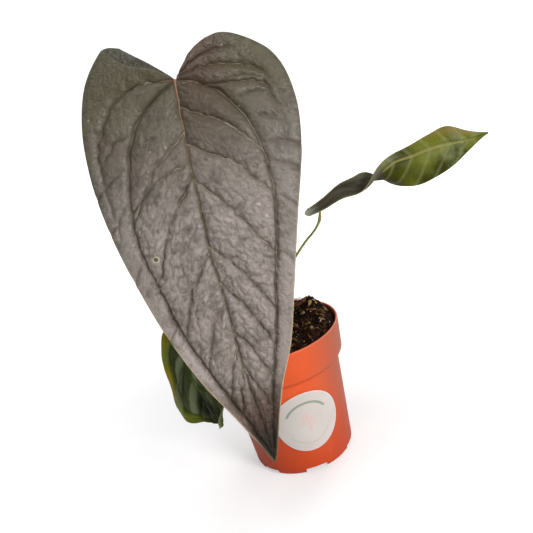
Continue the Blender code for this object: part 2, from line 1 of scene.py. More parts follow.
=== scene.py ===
# Potted anthurium: leaves, stalks, potting mix, pot and sticker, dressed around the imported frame.
import math

import bmesh
import bpy
import numpy as np
from mathutils.noise import fractal
from mathutils import Matrix, Vector


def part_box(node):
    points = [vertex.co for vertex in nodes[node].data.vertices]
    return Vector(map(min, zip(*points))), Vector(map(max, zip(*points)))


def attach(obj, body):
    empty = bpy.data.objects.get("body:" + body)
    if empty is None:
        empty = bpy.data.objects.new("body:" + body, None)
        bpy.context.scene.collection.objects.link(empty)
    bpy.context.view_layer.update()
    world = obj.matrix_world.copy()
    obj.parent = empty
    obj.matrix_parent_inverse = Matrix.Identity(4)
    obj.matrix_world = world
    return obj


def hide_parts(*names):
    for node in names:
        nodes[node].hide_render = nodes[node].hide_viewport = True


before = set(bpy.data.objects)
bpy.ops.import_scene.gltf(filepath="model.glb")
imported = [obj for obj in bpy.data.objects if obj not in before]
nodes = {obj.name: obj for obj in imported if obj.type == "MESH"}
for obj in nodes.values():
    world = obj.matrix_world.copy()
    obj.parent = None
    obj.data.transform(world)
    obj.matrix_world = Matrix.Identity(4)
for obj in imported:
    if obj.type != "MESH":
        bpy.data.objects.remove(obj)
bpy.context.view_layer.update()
mm = 0.001
print("frame loaded:", len(nodes), "nodes")

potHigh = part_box("pot")[1]
potHeight = potHigh[2]
rimRadius = potHigh[0]

cameraSetup = {"x": 0.00605, "y": -0.38480, "z": 0.24481, "down": 19.6, "roll": -15.6, "lens": 54.0}


def makeCamera(setup):
    down = math.radians(setup["down"])
    roll = math.radians(setup["roll"])
    forward = Vector((0, math.cos(down), -math.sin(down)))
    right = Vector((1, 0, 0))
    up = right.cross(forward)
    side = right * math.cos(roll) + up * math.sin(roll)
    top = up * math.cos(roll) - right * math.sin(roll)
    data = bpy.data.cameras.new("camera")
    data.lens = setup["lens"]
    data.sensor_width = 36
    data.clip_start = 0.01
    camera = bpy.data.objects.new("camera", data)
    turn = Matrix((side, top, -forward)).transposed().to_4x4()
    camera.matrix_world = Matrix.Translation((setup["x"], setup["y"], setup["z"])) @ turn
    bpy.context.scene.collection.objects.link(camera)
    bpy.context.scene.camera = camera


def makeArea(name, place, target, size, power, colour):
    data = bpy.data.lights.new(name, "AREA")
    data.shape = "DISK"
    data.size = size
    data.energy = power
    data.color = colour
    lamp = bpy.data.objects.new(name, data)
    lamp.location = place
    lamp.rotation_euler = (Vector(target) - Vector(place)).to_track_quat("-Z", "Y").to_euler()
    bpy.context.scene.collection.objects.link(lamp)


studio = {
    "behind": 1.0, "shadeSide": 0.12, "brightSide": 0.34, "floorRadius": 30.0,
    # each lamp: name, place, what it points at, size, power, colour
    "lamps": [
        ("windowLight", (0.58, -0.86, 0.50), (0, 0, 0.12), 0.42, 10.5, (1.0, 0.985, 0.975)),
        ("topLight", (-0.25, -0.30, 1.20), (0, 0, 0.05), 0.9, 6.5, (1.0, 1.0, 1.0)),
        ("backLight", (0.5, 0.7, 0.6), (0, 0, 0.1), 0.6, 3.0, (0.96, 0.98, 1.0)),
    ],
}


def makeStudio(settings):
    bpy.context.scene.view_settings.view_transform = "Standard"
    world = bpy.data.worlds.new("studio")
    world.use_nodes = True
    tree = world.node_tree
    lit = tree.nodes["Background"]
    seen = tree.nodes.new("ShaderNodeBackground")
    seen.inputs["Strength"].default_value = settings["behind"]
    seen.inputs["Color"].default_value = (1, 1, 1, 1)
    lit.inputs["Color"].default_value = (0.97, 0.98, 1, 1)
    direction = tree.nodes.new("ShaderNodeTexCoord")
    split = tree.nodes.new("ShaderNodeSeparateXYZ")
    tree.links.new(direction.outputs["Generated"], split.inputs["Vector"])
    power = between(tree, split.outputs["X"], -0.9, 0.9, settings["shadeSide"], settings["brightSide"])
    tree.links.new(power, lit.inputs["Strength"])
    path = tree.nodes.new("ShaderNodeLightPath")
    mix = tree.nodes.new("ShaderNodeMixShader")
    tree.links.new(path.outputs["Is Camera Ray"], mix.inputs["Fac"])
    tree.links.new(lit.outputs["Background"], mix.inputs[1])
    tree.links.new(seen.outputs["Background"], mix.inputs[2])
    tree.links.new(mix.outputs["Shader"], tree.nodes["World Output"].inputs["Surface"])
    bpy.context.scene.world = world
    for lamp in settings["lamps"]:
        makeArea(*lamp)
    bpy.ops.mesh.primitive_circle_add(vertices=96, radius=settings["floorRadius"], fill_type="NGON")
    floor = bpy.context.object
    floor.name = "floor"
    floor.data.materials.append(floorPaper())


def floorPaper():
    # pale paper; to the camera it runs into the white background with distance
    material, tree, shader = newMaterial("floorPaper")
    place = objectPlace(tree)
    grain = noise(tree, place, 40)
    colour = ramp(tree, grain, [(0.3, (0.60, 0.60, 0.60)), (0.7, (0.63, 0.63, 0.63))])
    setSkin(
        tree, shader,
        {"Base Color": colour, "Roughness": 0.95, "Specular IOR Level": 0.1, "Emission Color": (1, 1, 1, 1)}
    )
    seen = tree.nodes.new("ShaderNodeLightPath").outputs["Is Camera Ray"]
    away = tree.nodes.new("ShaderNodeVectorMath")
    away.operation = "LENGTH"
    tree.links.new(place, away.inputs[0])
    lift = between(tree, away.outputs["Value"], 0.05, 0.45, 0.45, 1.0)
    tree.links.new(times(tree, seen, lift), shader.inputs["Emission Strength"])
    return material


def newMaterial(name):
    material = bpy.data.materials.new(name)
    material.use_nodes = True
    tree = material.node_tree
    return material, tree, tree.nodes["Principled BSDF"]


def link(tree, value, socket):
    # value may be a socket of another node, or a plain number or colour
    if isinstance(value, bpy.types.NodeSocket):
        tree.links.new(value, socket)
    elif isinstance(value, (tuple, list)) and len(value) == 3 and len(socket.default_value) == 4:
        socket.default_value = (*value, 1)
    else:
        socket.default_value = value


def setSkin(tree, shader, values):
    for name, value in values.items():
        link(tree, value, shader.inputs[name])


def attribute(tree, name):
    node = tree.nodes.new("ShaderNodeAttribute")
    node.attribute_name = name
    return node.outputs["Fac"]


def mathNode(tree, operation, first, second=0.0):
    node = tree.nodes.new("ShaderNodeMath")
    node.operation = operation
    link(tree, first, node.inputs[0])
    link(tree, second, node.inputs[1])
    return node.outputs[0]


def times(tree, first, second):
    return mathNode(tree, "MULTIPLY", first, second)


def plus(tree, first, second):
    return mathNode(tree, "ADD", first, second)


def minus(tree, first, second):
    return mathNode(tree, "SUBTRACT", first, second)


def larger(tree, first, second):
    return mathNode(tree, "MAXIMUM", first, second)


def between(tree, value, low, high, toLow=0.0, toHigh=1.0):
    # maps low..high smoothly to toLow..toHigh
    node = tree.nodes.new("ShaderNodeMapRange")
    node.interpolation_type = "SMOOTHSTEP"
    link(tree, value, node.inputs["Value"])
    node.inputs["From Min"].default_value = low
    node.inputs["From Max"].default_value = high
    node.inputs["To Min"].default_value = toLow
    node.inputs["To Max"].default_value = toHigh
    return node.outputs["Result"]


def mixColour(tree, share, first, second):
    node = tree.nodes.new("ShaderNodeMix")
    node.data_type = "RGBA"
    link(tree, share, node.inputs[0])
    link(tree, first, node.inputs[6])
    link(tree, second, node.inputs[7])
    return node.outputs[2]


def paint(tree, colour, over, mask, share=None):
    # lays one colour over another where the mask is 1, as strongly as the share says
    return mixColour(tree, mask if share is None else times(tree, mask, share), colour, over)


def ramp(tree, value, stops):
    node = tree.nodes.new("ShaderNodeValToRGB")
    link(tree, value, node.inputs["Fac"])
    elements = node.color_ramp.elements
    while len(elements) < len(stops):
        elements.new(0.5)
    for element, (place, colour) in zip(elements, stops):
        element.position = place
        element.color = (*colour, 1)
    return node.outputs["Color"]


def objectPlace(tree, scale=(1, 1, 1)):
    place = tree.nodes.new("ShaderNodeTexCoord")
    mapping = tree.nodes.new("ShaderNodeMapping")
    mapping.inputs["Scale"].default_value = scale
    tree.links.new(place.outputs["Object"], mapping.inputs["Vector"])
    return mapping.outputs["Vector"]


def noise(tree, vector, scale, detail=3.0, roughness=0.55, output="Fac"):
    node = tree.nodes.new("ShaderNodeTexNoise")
    link(tree, vector, node.inputs["Vector"])
    node.inputs["Scale"].default_value = scale
    node.inputs["Detail"].default_value = detail
    node.inputs["Roughness"].default_value = roughness
    return node.outputs[output]


def bump(tree, height, strength, distance, normal=None):
    node = tree.nodes.new("ShaderNodeBump")
    node.inputs["Strength"].default_value = strength
    node.inputs["Distance"].default_value = distance
    link(tree, height, node.inputs["Height"])
    if normal:
        tree.links.new(normal, node.inputs["Normal"])
    return node.outputs["Normal"]


def newGroup(name, inputs, outputs):
    group = bpy.data.node_groups.new(name, "ShaderNodeTree")
    for socketName, kind, value in inputs:
        socket = group.interface.new_socket(socketName, in_out="INPUT", socket_type=kind)
        if value is not None:
            socket.default_value = value
    for socketName, kind in outputs:
        group.interface.new_socket(socketName, in_out="OUTPUT", socket_type=kind)
    return group, group.nodes.new("NodeGroupInput").outputs, group.nodes.new("NodeGroupOutput").inputs


def placeGroup(tree, group, **values):
    node = tree.nodes.new("ShaderNodeGroup")
    node.node_tree = group
    for name, value in values.items():
        link(tree, value, node.inputs[name])
    return node.outputs


def makeSpeckleGroup():
    # sparse tiny dots, such as dust or mineral spots
    group, given, out = newGroup(
        "specks",
        [("Vector", "NodeSocketVector", None), ("Scale", "NodeSocketFloat", 400.0),
         ("Size", "NodeSocketFloat", 0.12), ("Share", "NodeSocketFloat", 0.1)],
        [("Dots", "NodeSocketFloat")],
    )
    cells = group.nodes.new("ShaderNodeTexVoronoi")
    group.links.new(given["Vector"], cells.inputs["Vector"])
    group.links.new(given["Scale"], cells.inputs["Scale"])
    split = group.nodes.new("ShaderNodeSeparateColor")
    group.links.new(cells.outputs["Color"], split.inputs["Color"])
    chosen = mathNode(group, "LESS_THAN", split.outputs[0], given["Share"])
    near = mathNode(group, "LESS_THAN", cells.outputs["Distance"], given["Size"])
    group.links.new(times(group, chosen, near), out["Dots"])
    return group


def makeCellGroup():
    # pebbled skin: small rounded cells with fine creases between them, warped a little
    group, given, out = newGroup(
        "skinCells",
        [("Vector", "NodeSocketVector", None), ("Scale", "NodeSocketFloat", 500.0),
         ("Warp", "NodeSocketFloat", 0.002)],
        [("Height", "NodeSocketFloat"), ("Crease", "NodeSocketFloat")],
    )
    warpNoise = noise(group, given["Vector"], 90, 2, 0.5, "Color")
    scaled = group.nodes.new("ShaderNodeVectorMath")
    scaled.operation = "SCALE"
    group.links.new(warpNoise, scaled.inputs[0])
    group.links.new(given["Warp"], scaled.inputs["Scale"])
    moved = group.nodes.new("ShaderNodeVectorMath")
    group.links.new(given["Vector"], moved.inputs[0])
    group.links.new(scaled.outputs["Vector"], moved.inputs[1])
    cells = group.nodes.new("ShaderNodeTexVoronoi")
    cells.feature = "DISTANCE_TO_EDGE"
    group.links.new(moved.outputs["Vector"], cells.inputs["Vector"])
    group.links.new(given["Scale"], cells.inputs["Scale"])
    group.links.new(between(group, cells.outputs["Distance"], 0.0, 0.35), out["Height"])
    group.links.new(between(group, cells.outputs["Distance"], 0.0, 0.09, 1.0, 0.0), out["Crease"])
    return group


specks = makeSpeckleGroup()
skinCells = makeCellGroup()


def smoothCurve(points, count):
    # an evenly spaced smooth line through a few points
    points = np.array(points, float)
    ends = np.vstack([2 * points[:1] - points[1:2], points, 2 * points[-1:] - points[-2:-1]])
    t = np.linspace(0, 1, 24, endpoint=False)[:, None]
    dense = []
    for before, start, end, after in zip(ends, ends[1:], ends[2:], ends[3:]):
        square = (2 * before - 5 * start + 4 * end - after) * t**2
        cube = (3 * start - before - 3 * end + after) * t**3
        dense.append(start + 0.5 * ((end - before) * t + square + cube))
    dense = np.vstack([*dense, points[-1:]])
    walked = np.concatenate([[0], np.cumsum(np.linalg.norm(np.diff(dense, axis=0), axis=1))])
    places = np.linspace(0, walked[-1], count)
    return np.stack([np.interp(places, walked, column) for column in dense.T], 1)


def halfBlade(inner, outer, midrib, rows, columns, fan):
    # points from the midrib (column 0) to the margin, as (across, down), lobe first
    edge = smoothCurve(inner, columns + 1)
    margin = smoothCurve(outer, rows + 1)
    spine = smoothCurve(midrib, 400)
    share = np.linspace(0, 1, rows + 1)
    along = np.clip((share - fan) / (1 - fan), 0, 1) ** 1.15
    ribs = np.stack([np.interp(along, np.linspace(0, 1, 400), spine[:, k]) for k in (0, 1)], 1)
    out = np.linspace(0, 1, columns + 1)[None, :, None]
    grid = ribs[:, None] * (1 - out) + margin[:, None] * out
    straight = edge[0] * (1 - out[0]) + edge[-1] * out[0]
    fade = 1 - np.clip(share / fan, 0, 1)
    grid += ((fade * fade * (3 - 2 * fade))[:, None, None]) * (edge - straight)[None]
    # distance in from the margin, in the same units
    inward = np.linalg.norm(margin - ribs, axis=1)[:, None] * (1 - out[..., 0])
    return grid, inward


def joinHalves(halves):
    # welds the two halves along the midrib; returns points, their margin distance, and faces
    points, inward, faces, first = [], [], [], 0
    for grid, depth in halves:
        rows, columns = grid.shape[:2]
        faces.append(gridQuads(rows, columns) + first)
        points.append(grid.reshape(-1, 2))
        inward.append(depth.reshape(-1))
        first += rows * columns
    points = np.vstack(points)
    inward = np.concatenate(inward)
    _, kept, where = np.unique(np.round(points, 7), axis=0, return_index=True, return_inverse=True)
    faces = where.reshape(-1)[np.vstack(faces)]
    points = points[kept]
    corners = points[faces]
    x, y = corners[..., 0], corners[..., 1]
    area = ((x * np.roll(y, -1, 1)) - (y * np.roll(x, -1, 1))).sum(1)
    faces[area > 0] = faces[area > 0][:, ::-1]
    clean = []
    for face in faces.tolist():
        face = [v for i, v in enumerate(face) if v != face[i - 1]]
        if len(face) > 2 and len(set(face)) == len(face):
            clean.append(face)
    return points, inward[kept], clean


def distanceTo(points, path):
    # distance to a line of points, and how far along it the nearest place is, from 0 to 1
    best = np.full(len(points), 1e9)
    where = np.zeros(len(points))
    side = np.zeros(len(points))
    count = len(path) - 1
    for i, (start, end) in enumerate(zip(path, path[1:])):
        line = end - start
        offset = points - start
        t = np.clip(offset @ line / (line @ line), 0, 1)
        gap = offset - t[:, None] * line
        distance = np.hypot(gap[:, 0], gap[:, 1])
        nearer = distance < best
        best[nearer] = distance[nearer]
        where[nearer] = (i + t[nearer]) / count
        side[nearer] = line[0] * offset[nearer, 1] - line[1] * offset[nearer, 0]
    return best, where, side


def smoothstep(value, low, high):
    t = np.clip((value - low) / (high - low), 0, 1)
    return t * t * (3 - 2 * t)


def scatterSeeds(size, low, high, jitter, seed):
    random = np.random.default_rng(seed)
    across = np.arange(low[0], high[0], size[0])
    down = np.arange(low[1], high[1], size[1])
    grid = np.stack(np.meshgrid(across, down), -1)
    grid[1::2, :, 0] += size[0] / 2
    grid = grid.reshape(-1, 2)
    return grid + random.uniform(-jitter, jitter, grid.shape) * np.array(size)


def cellEdges(points, seeds):
    # distance from each point to the border between its nearest two seeds
    found = np.empty(len(points))
    for start in range(0, len(points), 4000):
        part = points[start : start + 4000]
        gaps = ((part[:, None] - seeds[None]) ** 2).sum(-1)
        order = np.argpartition(gaps, 1, axis=1)[:, :2]
        near = np.take_along_axis(gaps, order, 1)
        near.sort(axis=1)
        apart = np.linalg.norm(seeds[order[:, 0]] - seeds[order[:, 1]], axis=1)
        found[start : start + 4000] = (near[:, 1] - near[:, 0]) / (2 * apart)
    return found


def waves(points, scale, seed, count=9):
    # smooth random undulation from -1 to 1
    random = np.random.default_rng(seed)
    total = np.zeros(len(points))
    for _ in range(count):
        angle = random.uniform(0, 2 * math.pi)
        rate = random.uniform(0.6, 1.5) * 2 * math.pi / scale
        phase = random.uniform(0, 2 * math.pi)
        total += np.sin((points @ np.array([math.cos(angle), math.sin(angle)])) * rate + phase)
    return total / count**0.5 / 1.4


def sideVeinPaths(rail, midrib, laterals):
    # side veins leave the midrib, arch outwards and run into the collective vein
    sign = np.sign(rail[len(rail) // 2, 0])
    found = []
    for start, end, arch in laterals:
        first = np.array([np.interp(start, midrib[:, 1], midrib[:, 0]), start])
        last = np.array([np.interp(end, rail[:, 1], rail[:, 0]), end])
        early = first * 0.82 + last * 0.18 + np.array([sign * arch * 0.5, -arch * 0.3])
        middle = first * 0.5 + last * 0.5 + np.array([sign * arch, -arch])
        found.append(smoothCurve([first, early, middle, last], 26))
    return sign, found


farAway = 99 * mm  # stands for no vein in reach


def veinMap(points, design):
    # distances to every kind of vein, and a running count of side veins from base to tip
    midrib = smoothCurve(design["midrib"], 80)
    firm = points + np.stack([waves(points, 12 * mm, 71), waves(points, 12 * mm, 72)], 1) * 0.30 * mm
    loose = firm + np.stack([waves(points, 6 * mm, 73), waves(points, 6 * mm, 74)], 1) * 0.55 * mm
    midDistance, midAlong, midSide = distanceTo(firm, midrib)
    midSide = np.copysign(midDistance, midSide)
    count = len(points)
    collective, band = np.full(count, farAway), np.full(count, farAway)
    phase, gap, lateral = np.zeros(count), np.full(count, 9 * mm), np.full(count, farAway)
    for line, laterals, bandLines in zip(design["collective"], design["laterals"], design["band"]):
        rail = smoothCurve(line, 120)
        sign, paths = sideVeinPaths(rail, midrib, laterals)
        half = points[:, 0] * sign > np.interp(points[:, 1], midrib[:, 1], midrib[:, 0]) * sign
        here = loose[half]
        away, _, side = distanceTo(firm[half], rail)
        signed = np.where(side * sign < 0, away, -away)
        collective[half] = signed
        found = [distanceTo(here, path) for path in paths]
        away = np.stack([distance for distance, _, _ in found])
        taper = np.stack([along for _, along, _ in found])
        passed = np.stack([side * sign > 0 for _, _, side in found])
        k = passed.sum(0)
        spare = np.full((1, len(here)), 9 * mm)
        padded = np.concatenate([spare, away, spare])
        column = np.arange(len(here))
        above, below = padded[k, column], padded[k + 1, column]
        phase[half] = k + above / (above + below + 1e-9)
        gap[half] = above + below
        near = away.argmin(0)
        lateral[half] = away[near, column] * (1 + 0.5 * taper[near, column])
        for start, drop, reach in bandLines:
            first = np.array([np.interp(start, rail[:, 1], rail[:, 0]), start])
            last = first + np.array([sign * reach, drop])
            bend = (first + last) / 2 + np.array([0, -0.10 * reach])
            away, along, _ = distanceTo(here, smoothCurve([first, bend, last], 14))
            away = away * (1 + 1.2 * along**2) + np.maximum(-signed, 0) * 6
            band[half] = np.minimum(band[half], away)
    basal = np.full(count, farAway)
    for line in design["basal"]:
        away, along, _ = distanceTo(loose, smoothCurve(line, 60))
        basal = np.minimum(
            basal, away * (1 + 1.5 * along**2) + 2.5 * mm * np.maximum(along - 0.62, 0) / 0.38
        )
    return {
        "mid": midDistance, "midSigned": midSide, "midAlong": midAlong, "collective": collective,
        "lateral": lateral, "phase": phase, "gap": gap, "basal": basal, "band": band,
    }


def reliefOf(points, inward, design):
    # heights and masks of the quilted surface
    veins = veinMap(points, design)
    across, down = points.T
    outside = smoothstep(veins["collective"], 0, 3 * mm)
    rib = np.abs(veins["collective"])
    lateral = veins["lateral"] * (1 + 6 * outside) + 2 * mm * outside
    basal = veins["basal"] + (1 - outside) * 20 * mm * smoothstep(
        down, 0.10 * design["length"], 0.2 * design["length"]
    )
    nearest = np.minimum.reduce([veins["mid"], rib * 0.9, lateral, basal, veins["band"] * 1.5 + 0.8 * mm])
    height = design["pad"] * (1 - np.exp(-nearest / design["padReach"]))
    height -= design["crease"] * np.exp(-((nearest / (0.6 * mm)) ** 2))
    height -= design["ribDepth"] * np.exp(-rib / (3.0 * mm)) * (1 - outside)
    height -= design["midDepth"] * np.exp(-veins["mid"] / (2.2 * mm)) * (1 - 0.5 * veins["midAlong"])
    height += 0.4 * mm * np.exp(-((veins["mid"] / (0.45 * mm)) ** 2)) * (1 - 0.4 * veins["midAlong"])
    # the finer net: uneven cells that follow the slant of the side veins
    wobble = np.stack([waves(points, 17 * mm, 5), waves(points, 17 * mm, 6)], 1) * 2.2 * mm
    slanted = np.stack([across, down - 0.55 * np.abs(across)], 1) + wobble
    low, high = slanted.min(0) - 12 * mm, slanted.max(0) + 12 * mm
    cells = cellEdges(slanted, scatterSeeds(design["cellSize"], low, high, 0.42, design["seed"]))
    small = cellEdges(
        slanted + wobble * 0.6, scatterSeeds(design["smallCell"], low, high, 0.46, design["seed"] + 1)
    )
    calm = (1 - 0.70 * outside) * (
        0.45 + 0.55 * smoothstep(down, 0.10 * design["length"], 0.45 * design["length"])
    )
    calm = calm * (0.15 + 0.85 * smoothstep(inward, 0.4 * mm, 5 * mm))
    height += design["cellPad"] * (1 - np.exp(-cells / (0.9 * mm))) * calm
    height += design["smallPad"] * (1 - np.exp(-small / (0.6 * mm))) * calm
    height += waves(points, 7 * mm, 8) * 0.22 * mm * (0.2 + 0.8 * calm)
    edge = np.exp(-((inward / (0.40 * mm)) ** 2))
    masks = {
        "midDistance": veins["midSigned"] / mm, "ribDistance": veins["collective"] / mm,
        "basalDistance": basal / mm, "bandDistance": np.minimum(veins["band"], 20 * mm) / mm,
        "phase": veins["phase"], "gap": veins["gap"] / mm,
        "netVein": np.exp(-((cells / (0.36 * mm)) ** 2)) * calm,
        "smallVein": np.exp(-((small / (0.36 * mm)) ** 2)) * calm,
        "edge": edge, "inward": np.clip(inward / (40 * mm), 0, 1),
        "across": across / design["halfWidth"], "down": down / design["length"],
        "joint": np.exp(-((np.hypot(across, down) / (9 * mm)) ** 2)),
        "raised": 1 - np.exp(-nearest / (0.75 * mm)), "calm": calm,
    }
    return height, masks


def bladeObject(name, places, faces, flat, masks, materials, thickness, replaced):
    mesh = bpy.data.meshes.new(name)
    mesh.from_pydata(places.tolist(), [], faces)
    for key, values in masks.items():
        layer = mesh.attributes.new(key, "FLOAT", "POINT")
        layer.data.foreach_set("value", np.ascontiguousarray(values, np.float32))
    low, high = flat.min(0), flat.max(0)
    spread = (flat - low) / (high - low)
    uvLayer = mesh.uv_layers.new(name="OFBake")
    corners = np.empty(len(mesh.loops), np.int32)
    mesh.loops.foreach_get("vertex_index", corners)
    places2d = spread[corners] * np.array([0.48, 0.98]) + np.array([0.01, 0.01])
    uvLayer.data.foreach_set("uv", places2d.astype(np.float32).ravel())
    blade = newObject(name, mesh, *materials)
    skin = blade.modifiers.new("thickness", "SOLIDIFY")
    skin.thickness = thickness
    skin.offset = 0
    skin.material_offset = 1
    skin.material_offset_rim = 0
    count = len(mesh.polygons)
    blade = applied(blade)
    mesh = blade.data
    starts = np.empty(len(mesh.polygons), np.int32)
    mesh.polygons.foreach_get("loop_start", starts)
    places2d = np.empty(len(mesh.loops) * 2, np.float32)
    mesh.uv_layers["OFBake"].data.foreach_get("uv", places2d)
    places2d = places2d.reshape(-1, 2)
    firstBack = starts[count]
    lastBack = starts[2 * count] if len(starts) > 2 * count else len(mesh.loops)
    places2d[firstBack:lastBack, 0] += 0.5
    mesh.uv_layers["OFBake"].data.foreach_set("uv", places2d.ravel())
    mesh.shade_smooth()
    finishPiece(blade, replaced)
    print("blade", name, len(mesh.polygons), "faces")


def gridQuads(rows, columns):
    index = np.arange(rows * columns).reshape(rows, columns)
    return np.stack([index[:-1, :-1], index[:-1, 1:], index[1:, 1:], index[1:, :-1]], -1).reshape(-1, 4)


def ringQuads(count, steps):
    # faces between each ring of a tube and the next
    return [
        (i * steps + j, i * steps + (j + 1) % steps, (i + 1) * steps + (j + 1) % steps, (i + 1) * steps + j)
        for i in range(count - 1) for j in range(steps)
    ]


def bridgeRings(bm, rings):
    # faces between neighbouring rings, which may close to a single point
    for first, second in zip(rings, rings[1:]):
        for i in range(len(first)):
            j = (i + 1) % len(first)
            corners = list(dict.fromkeys((first[i], first[j], second[j], second[i])))
            if len(corners) > 2:
                bm.faces.new(corners)
    bmesh.ops.recalc_face_normals(bm, faces=bm.faces)


def meshFrom(name, bm):
    mesh = bpy.data.meshes.new(name)
    bm.to_mesh(mesh)
    bm.free()
    return mesh


def newObject(name, mesh, *materials):
    for material in materials:
        mesh.materials.append(material)
    piece = bpy.data.objects.new(name, mesh)
    bpy.context.scene.collection.objects.link(piece)
    return piece


def applied(obj):
    # the object as a plain mesh of what its modifiers make
    bpy.context.view_layer.update()
    graph = bpy.context.evaluated_depsgraph_get()
    mesh = bpy.data.meshes.new_from_object(
        obj.evaluated_get(graph), preserve_all_data_layers=True, depsgraph=graph
    )
    name = obj.name
    matrix = obj.matrix_world.copy()
    materials = [slot.material for slot in obj.material_slots]
    bpy.data.objects.remove(obj, do_unlink=True)
    mesh.transform(matrix)
    mesh.materials.clear()
    return newObject(name, mesh, *materials)


def finishPiece(piece, replaced):
    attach(piece, "root")
    if replaced:
        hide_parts(*replaced)


largeLeaf = {
    "length": 177 * mm, "halfWidth": 49 * mm, "base": (-10.8 * mm, -18.0 * mm, potHeight + 137.7 * mm),
    "tiltTop": 27.0, "tiltTip": 9.0, "lean": 0.013, "droop": 6.0 * mm, "thickness": 0.55 * mm,
    "rows": 326, "columns": 73, "seed": 11,
    # lines run as (across, down), in shares of the half width and of the length
    "innerLeft": [(0, 0), (-0.11, -0.030), (-0.22, -0.064), (-0.33, -0.100), (-0.44, -0.130)],
    "outerLeft": [
        (-0.44, -0.130), (-0.54, -0.132), (-0.64, -0.114), (-0.77, -0.075), (-0.86, -0.030),
        (-0.93, 0.040), (-0.97, 0.120), (-0.975, 0.220), (-0.92, 0.340), (-0.82, 0.470),
        (-0.67, 0.615), (-0.47, 0.755), (-0.27, 0.862), (-0.12, 0.945), (-0.06, 0.985), (-0.02, 1.011),
    ],
    "innerRight": [(0, 0), (0.10, -0.030), (0.17, -0.052), (0.26, -0.070), (0.36, -0.082)],
    "outerRight": [
        (0.36, -0.082), (0.47, -0.087), (0.58, -0.081), (0.70, -0.064), (0.82, -0.040),
        (0.92, -0.010), (0.99, 0.035), (1.02, 0.090), (1.02, 0.150), (0.98, 0.220), (0.92, 0.285),
        (0.75, 0.425), (0.57, 0.580), (0.41, 0.715), (0.23, 0.820), (0.09, 0.930), (0.02, 0.988),
        (-0.02, 1.011),
    ],
    "midribLine": [
        (0, 0), (-0.036, 0.10), (-0.056, 0.21), (-0.065, 0.31), (-0.09, 0.45), (-0.074, 0.53),
        (-0.072, 0.64), (-0.062, 0.75), (-0.038, 0.88), (-0.02, 1.011),
    ],
    "collectiveLeft": [
        (-0.01, 0.004), (-0.20, 0.030), (-0.42, 0.075), (-0.59, 0.165), (-0.69, 0.290), (-0.70, 0.400),
        (-0.62, 0.510), (-0.51, 0.640), (-0.33, 0.770), (-0.17, 0.880), (-0.03, 0.985),
    ],
    "collectiveRight": [
        (0.01, 0.002), (0.17, 0.018), (0.38, 0.065), (0.57, 0.165), (0.62, 0.290), (0.57, 0.410),
        (0.43, 0.550), (0.31, 0.680), (0.14, 0.820), (0.00, 0.970),
    ],
    "basalLines": [
        [
            (-0.01, 0.0), (-0.30, -0.010), (-0.50, 0.000), (-0.70, 0.045), (-0.84, 0.115), (-0.88, 0.230),
            (-0.85, 0.350)
        ],
        [(0.01, 0.0), (0.25, -0.015), (0.45, -0.012), (0.66, 0.005), (0.83, 0.050), (0.90, 0.140)],
        [(0.05, 0.01), (0.33, 0.036), (0.54, 0.042), (0.76, 0.062), (0.86, 0.150), (0.84, 0.260)],
        [(0.01, 0.0), (0.20, -0.040), (0.38, -0.052), (0.56, -0.046)],
    ],
    # each side vein: where it leaves the midrib, where it meets the collective vein, its arch
    "lateralsLeft": [
        (0.137, 0.335, 2.4), (0.212, 0.300, 1.6), (0.250, 0.500, 2.2), (0.445, 0.640, 1.8),
        (0.568, 0.735, 1.4), (0.690, 0.820, 0.8), (0.745, 0.870, 0.5),
    ],
    "lateralsRight": [
        (0.070, 0.230, 2.0), (0.170, 0.345, 2.2), (0.260, 0.495, 1.0), (0.427, 0.630, 1.4),
        (0.523, 0.715, 1.2), (0.650, 0.785, 0.8), (0.745, 0.870, 0.5),
    ],
    # veins of the outer band: where they leave the collective vein, how far they fall, their reach
    "bandLeft": [
        (0.100, 0.055, 0.36), (0.185, 0.055, 0.34), (0.275, 0.060, 0.22), (0.420, 0.070, 0.16),
        (0.600, 0.050, 0.12),
    ],
    "bandRight": [
        (0.042, 0.004, 0.50), (0.090, 0.008, 0.48), (0.148, 0.018, 0.30), (0.215, 0.030, 0.36),
        (0.262, 0.036, 0.26),
        (0.345, 0.045, 0.16), (0.480, 0.050, 0.14),
    ],
    # the line along which the left lobe's inner flap is turned away, and how steeply
    "flapCrease": [(0, 0), (-0.20, -0.036), (-0.42, -0.066), (-0.58, -0.122)], "flapSlope": 0.85,
    # small scars: place, size in mm, kind
    "scars": [((-0.575, 0.427), 1.15, "ring"), ((-0.128, 0.79), 0.7, "fleck")],
    "pad": 2.6 * mm, "padReach": 3.0 * mm, "crease": 0.40 * mm, "ribDepth": 0.9 * mm, "midDepth": 0.6 * mm,
    "cellSize": (6.0 * mm, 4.6 * mm), "cellPad": 0.75 * mm, "smallCell": (3.4 * mm, 2.8 * mm),
    "smallPad": 0.26 * mm,
}


def scaled(lines, leaf):
    return [(x * leaf["halfWidth"], y * leaf["length"]) for x, y in lines]


def designOf(leaf):
    length = leaf["length"]
    return {
        "midrib": scaled(leaf["midribLine"], leaf),
        "collective": [scaled(leaf["collectiveLeft"], leaf), scaled(leaf["collectiveRight"], leaf)],
        "basal": [scaled(line, leaf) for line in leaf["basalLines"]],
        "laterals": [
            [(start * length, end * length, arch * mm) for start, end, arch in leaf[side]]
            for side in ("lateralsLeft", "lateralsRight")
        ],
        "band": [
            [
                (start * length, drop * length, reach * leaf["halfWidth"])
                for start, drop, reach in leaf.get(side, [])
            ]
            for side in ("bandLeft", "bandRight")
        ],
        **{key: value for key, value in leaf.items() if not isinstance(value, list)},
    }


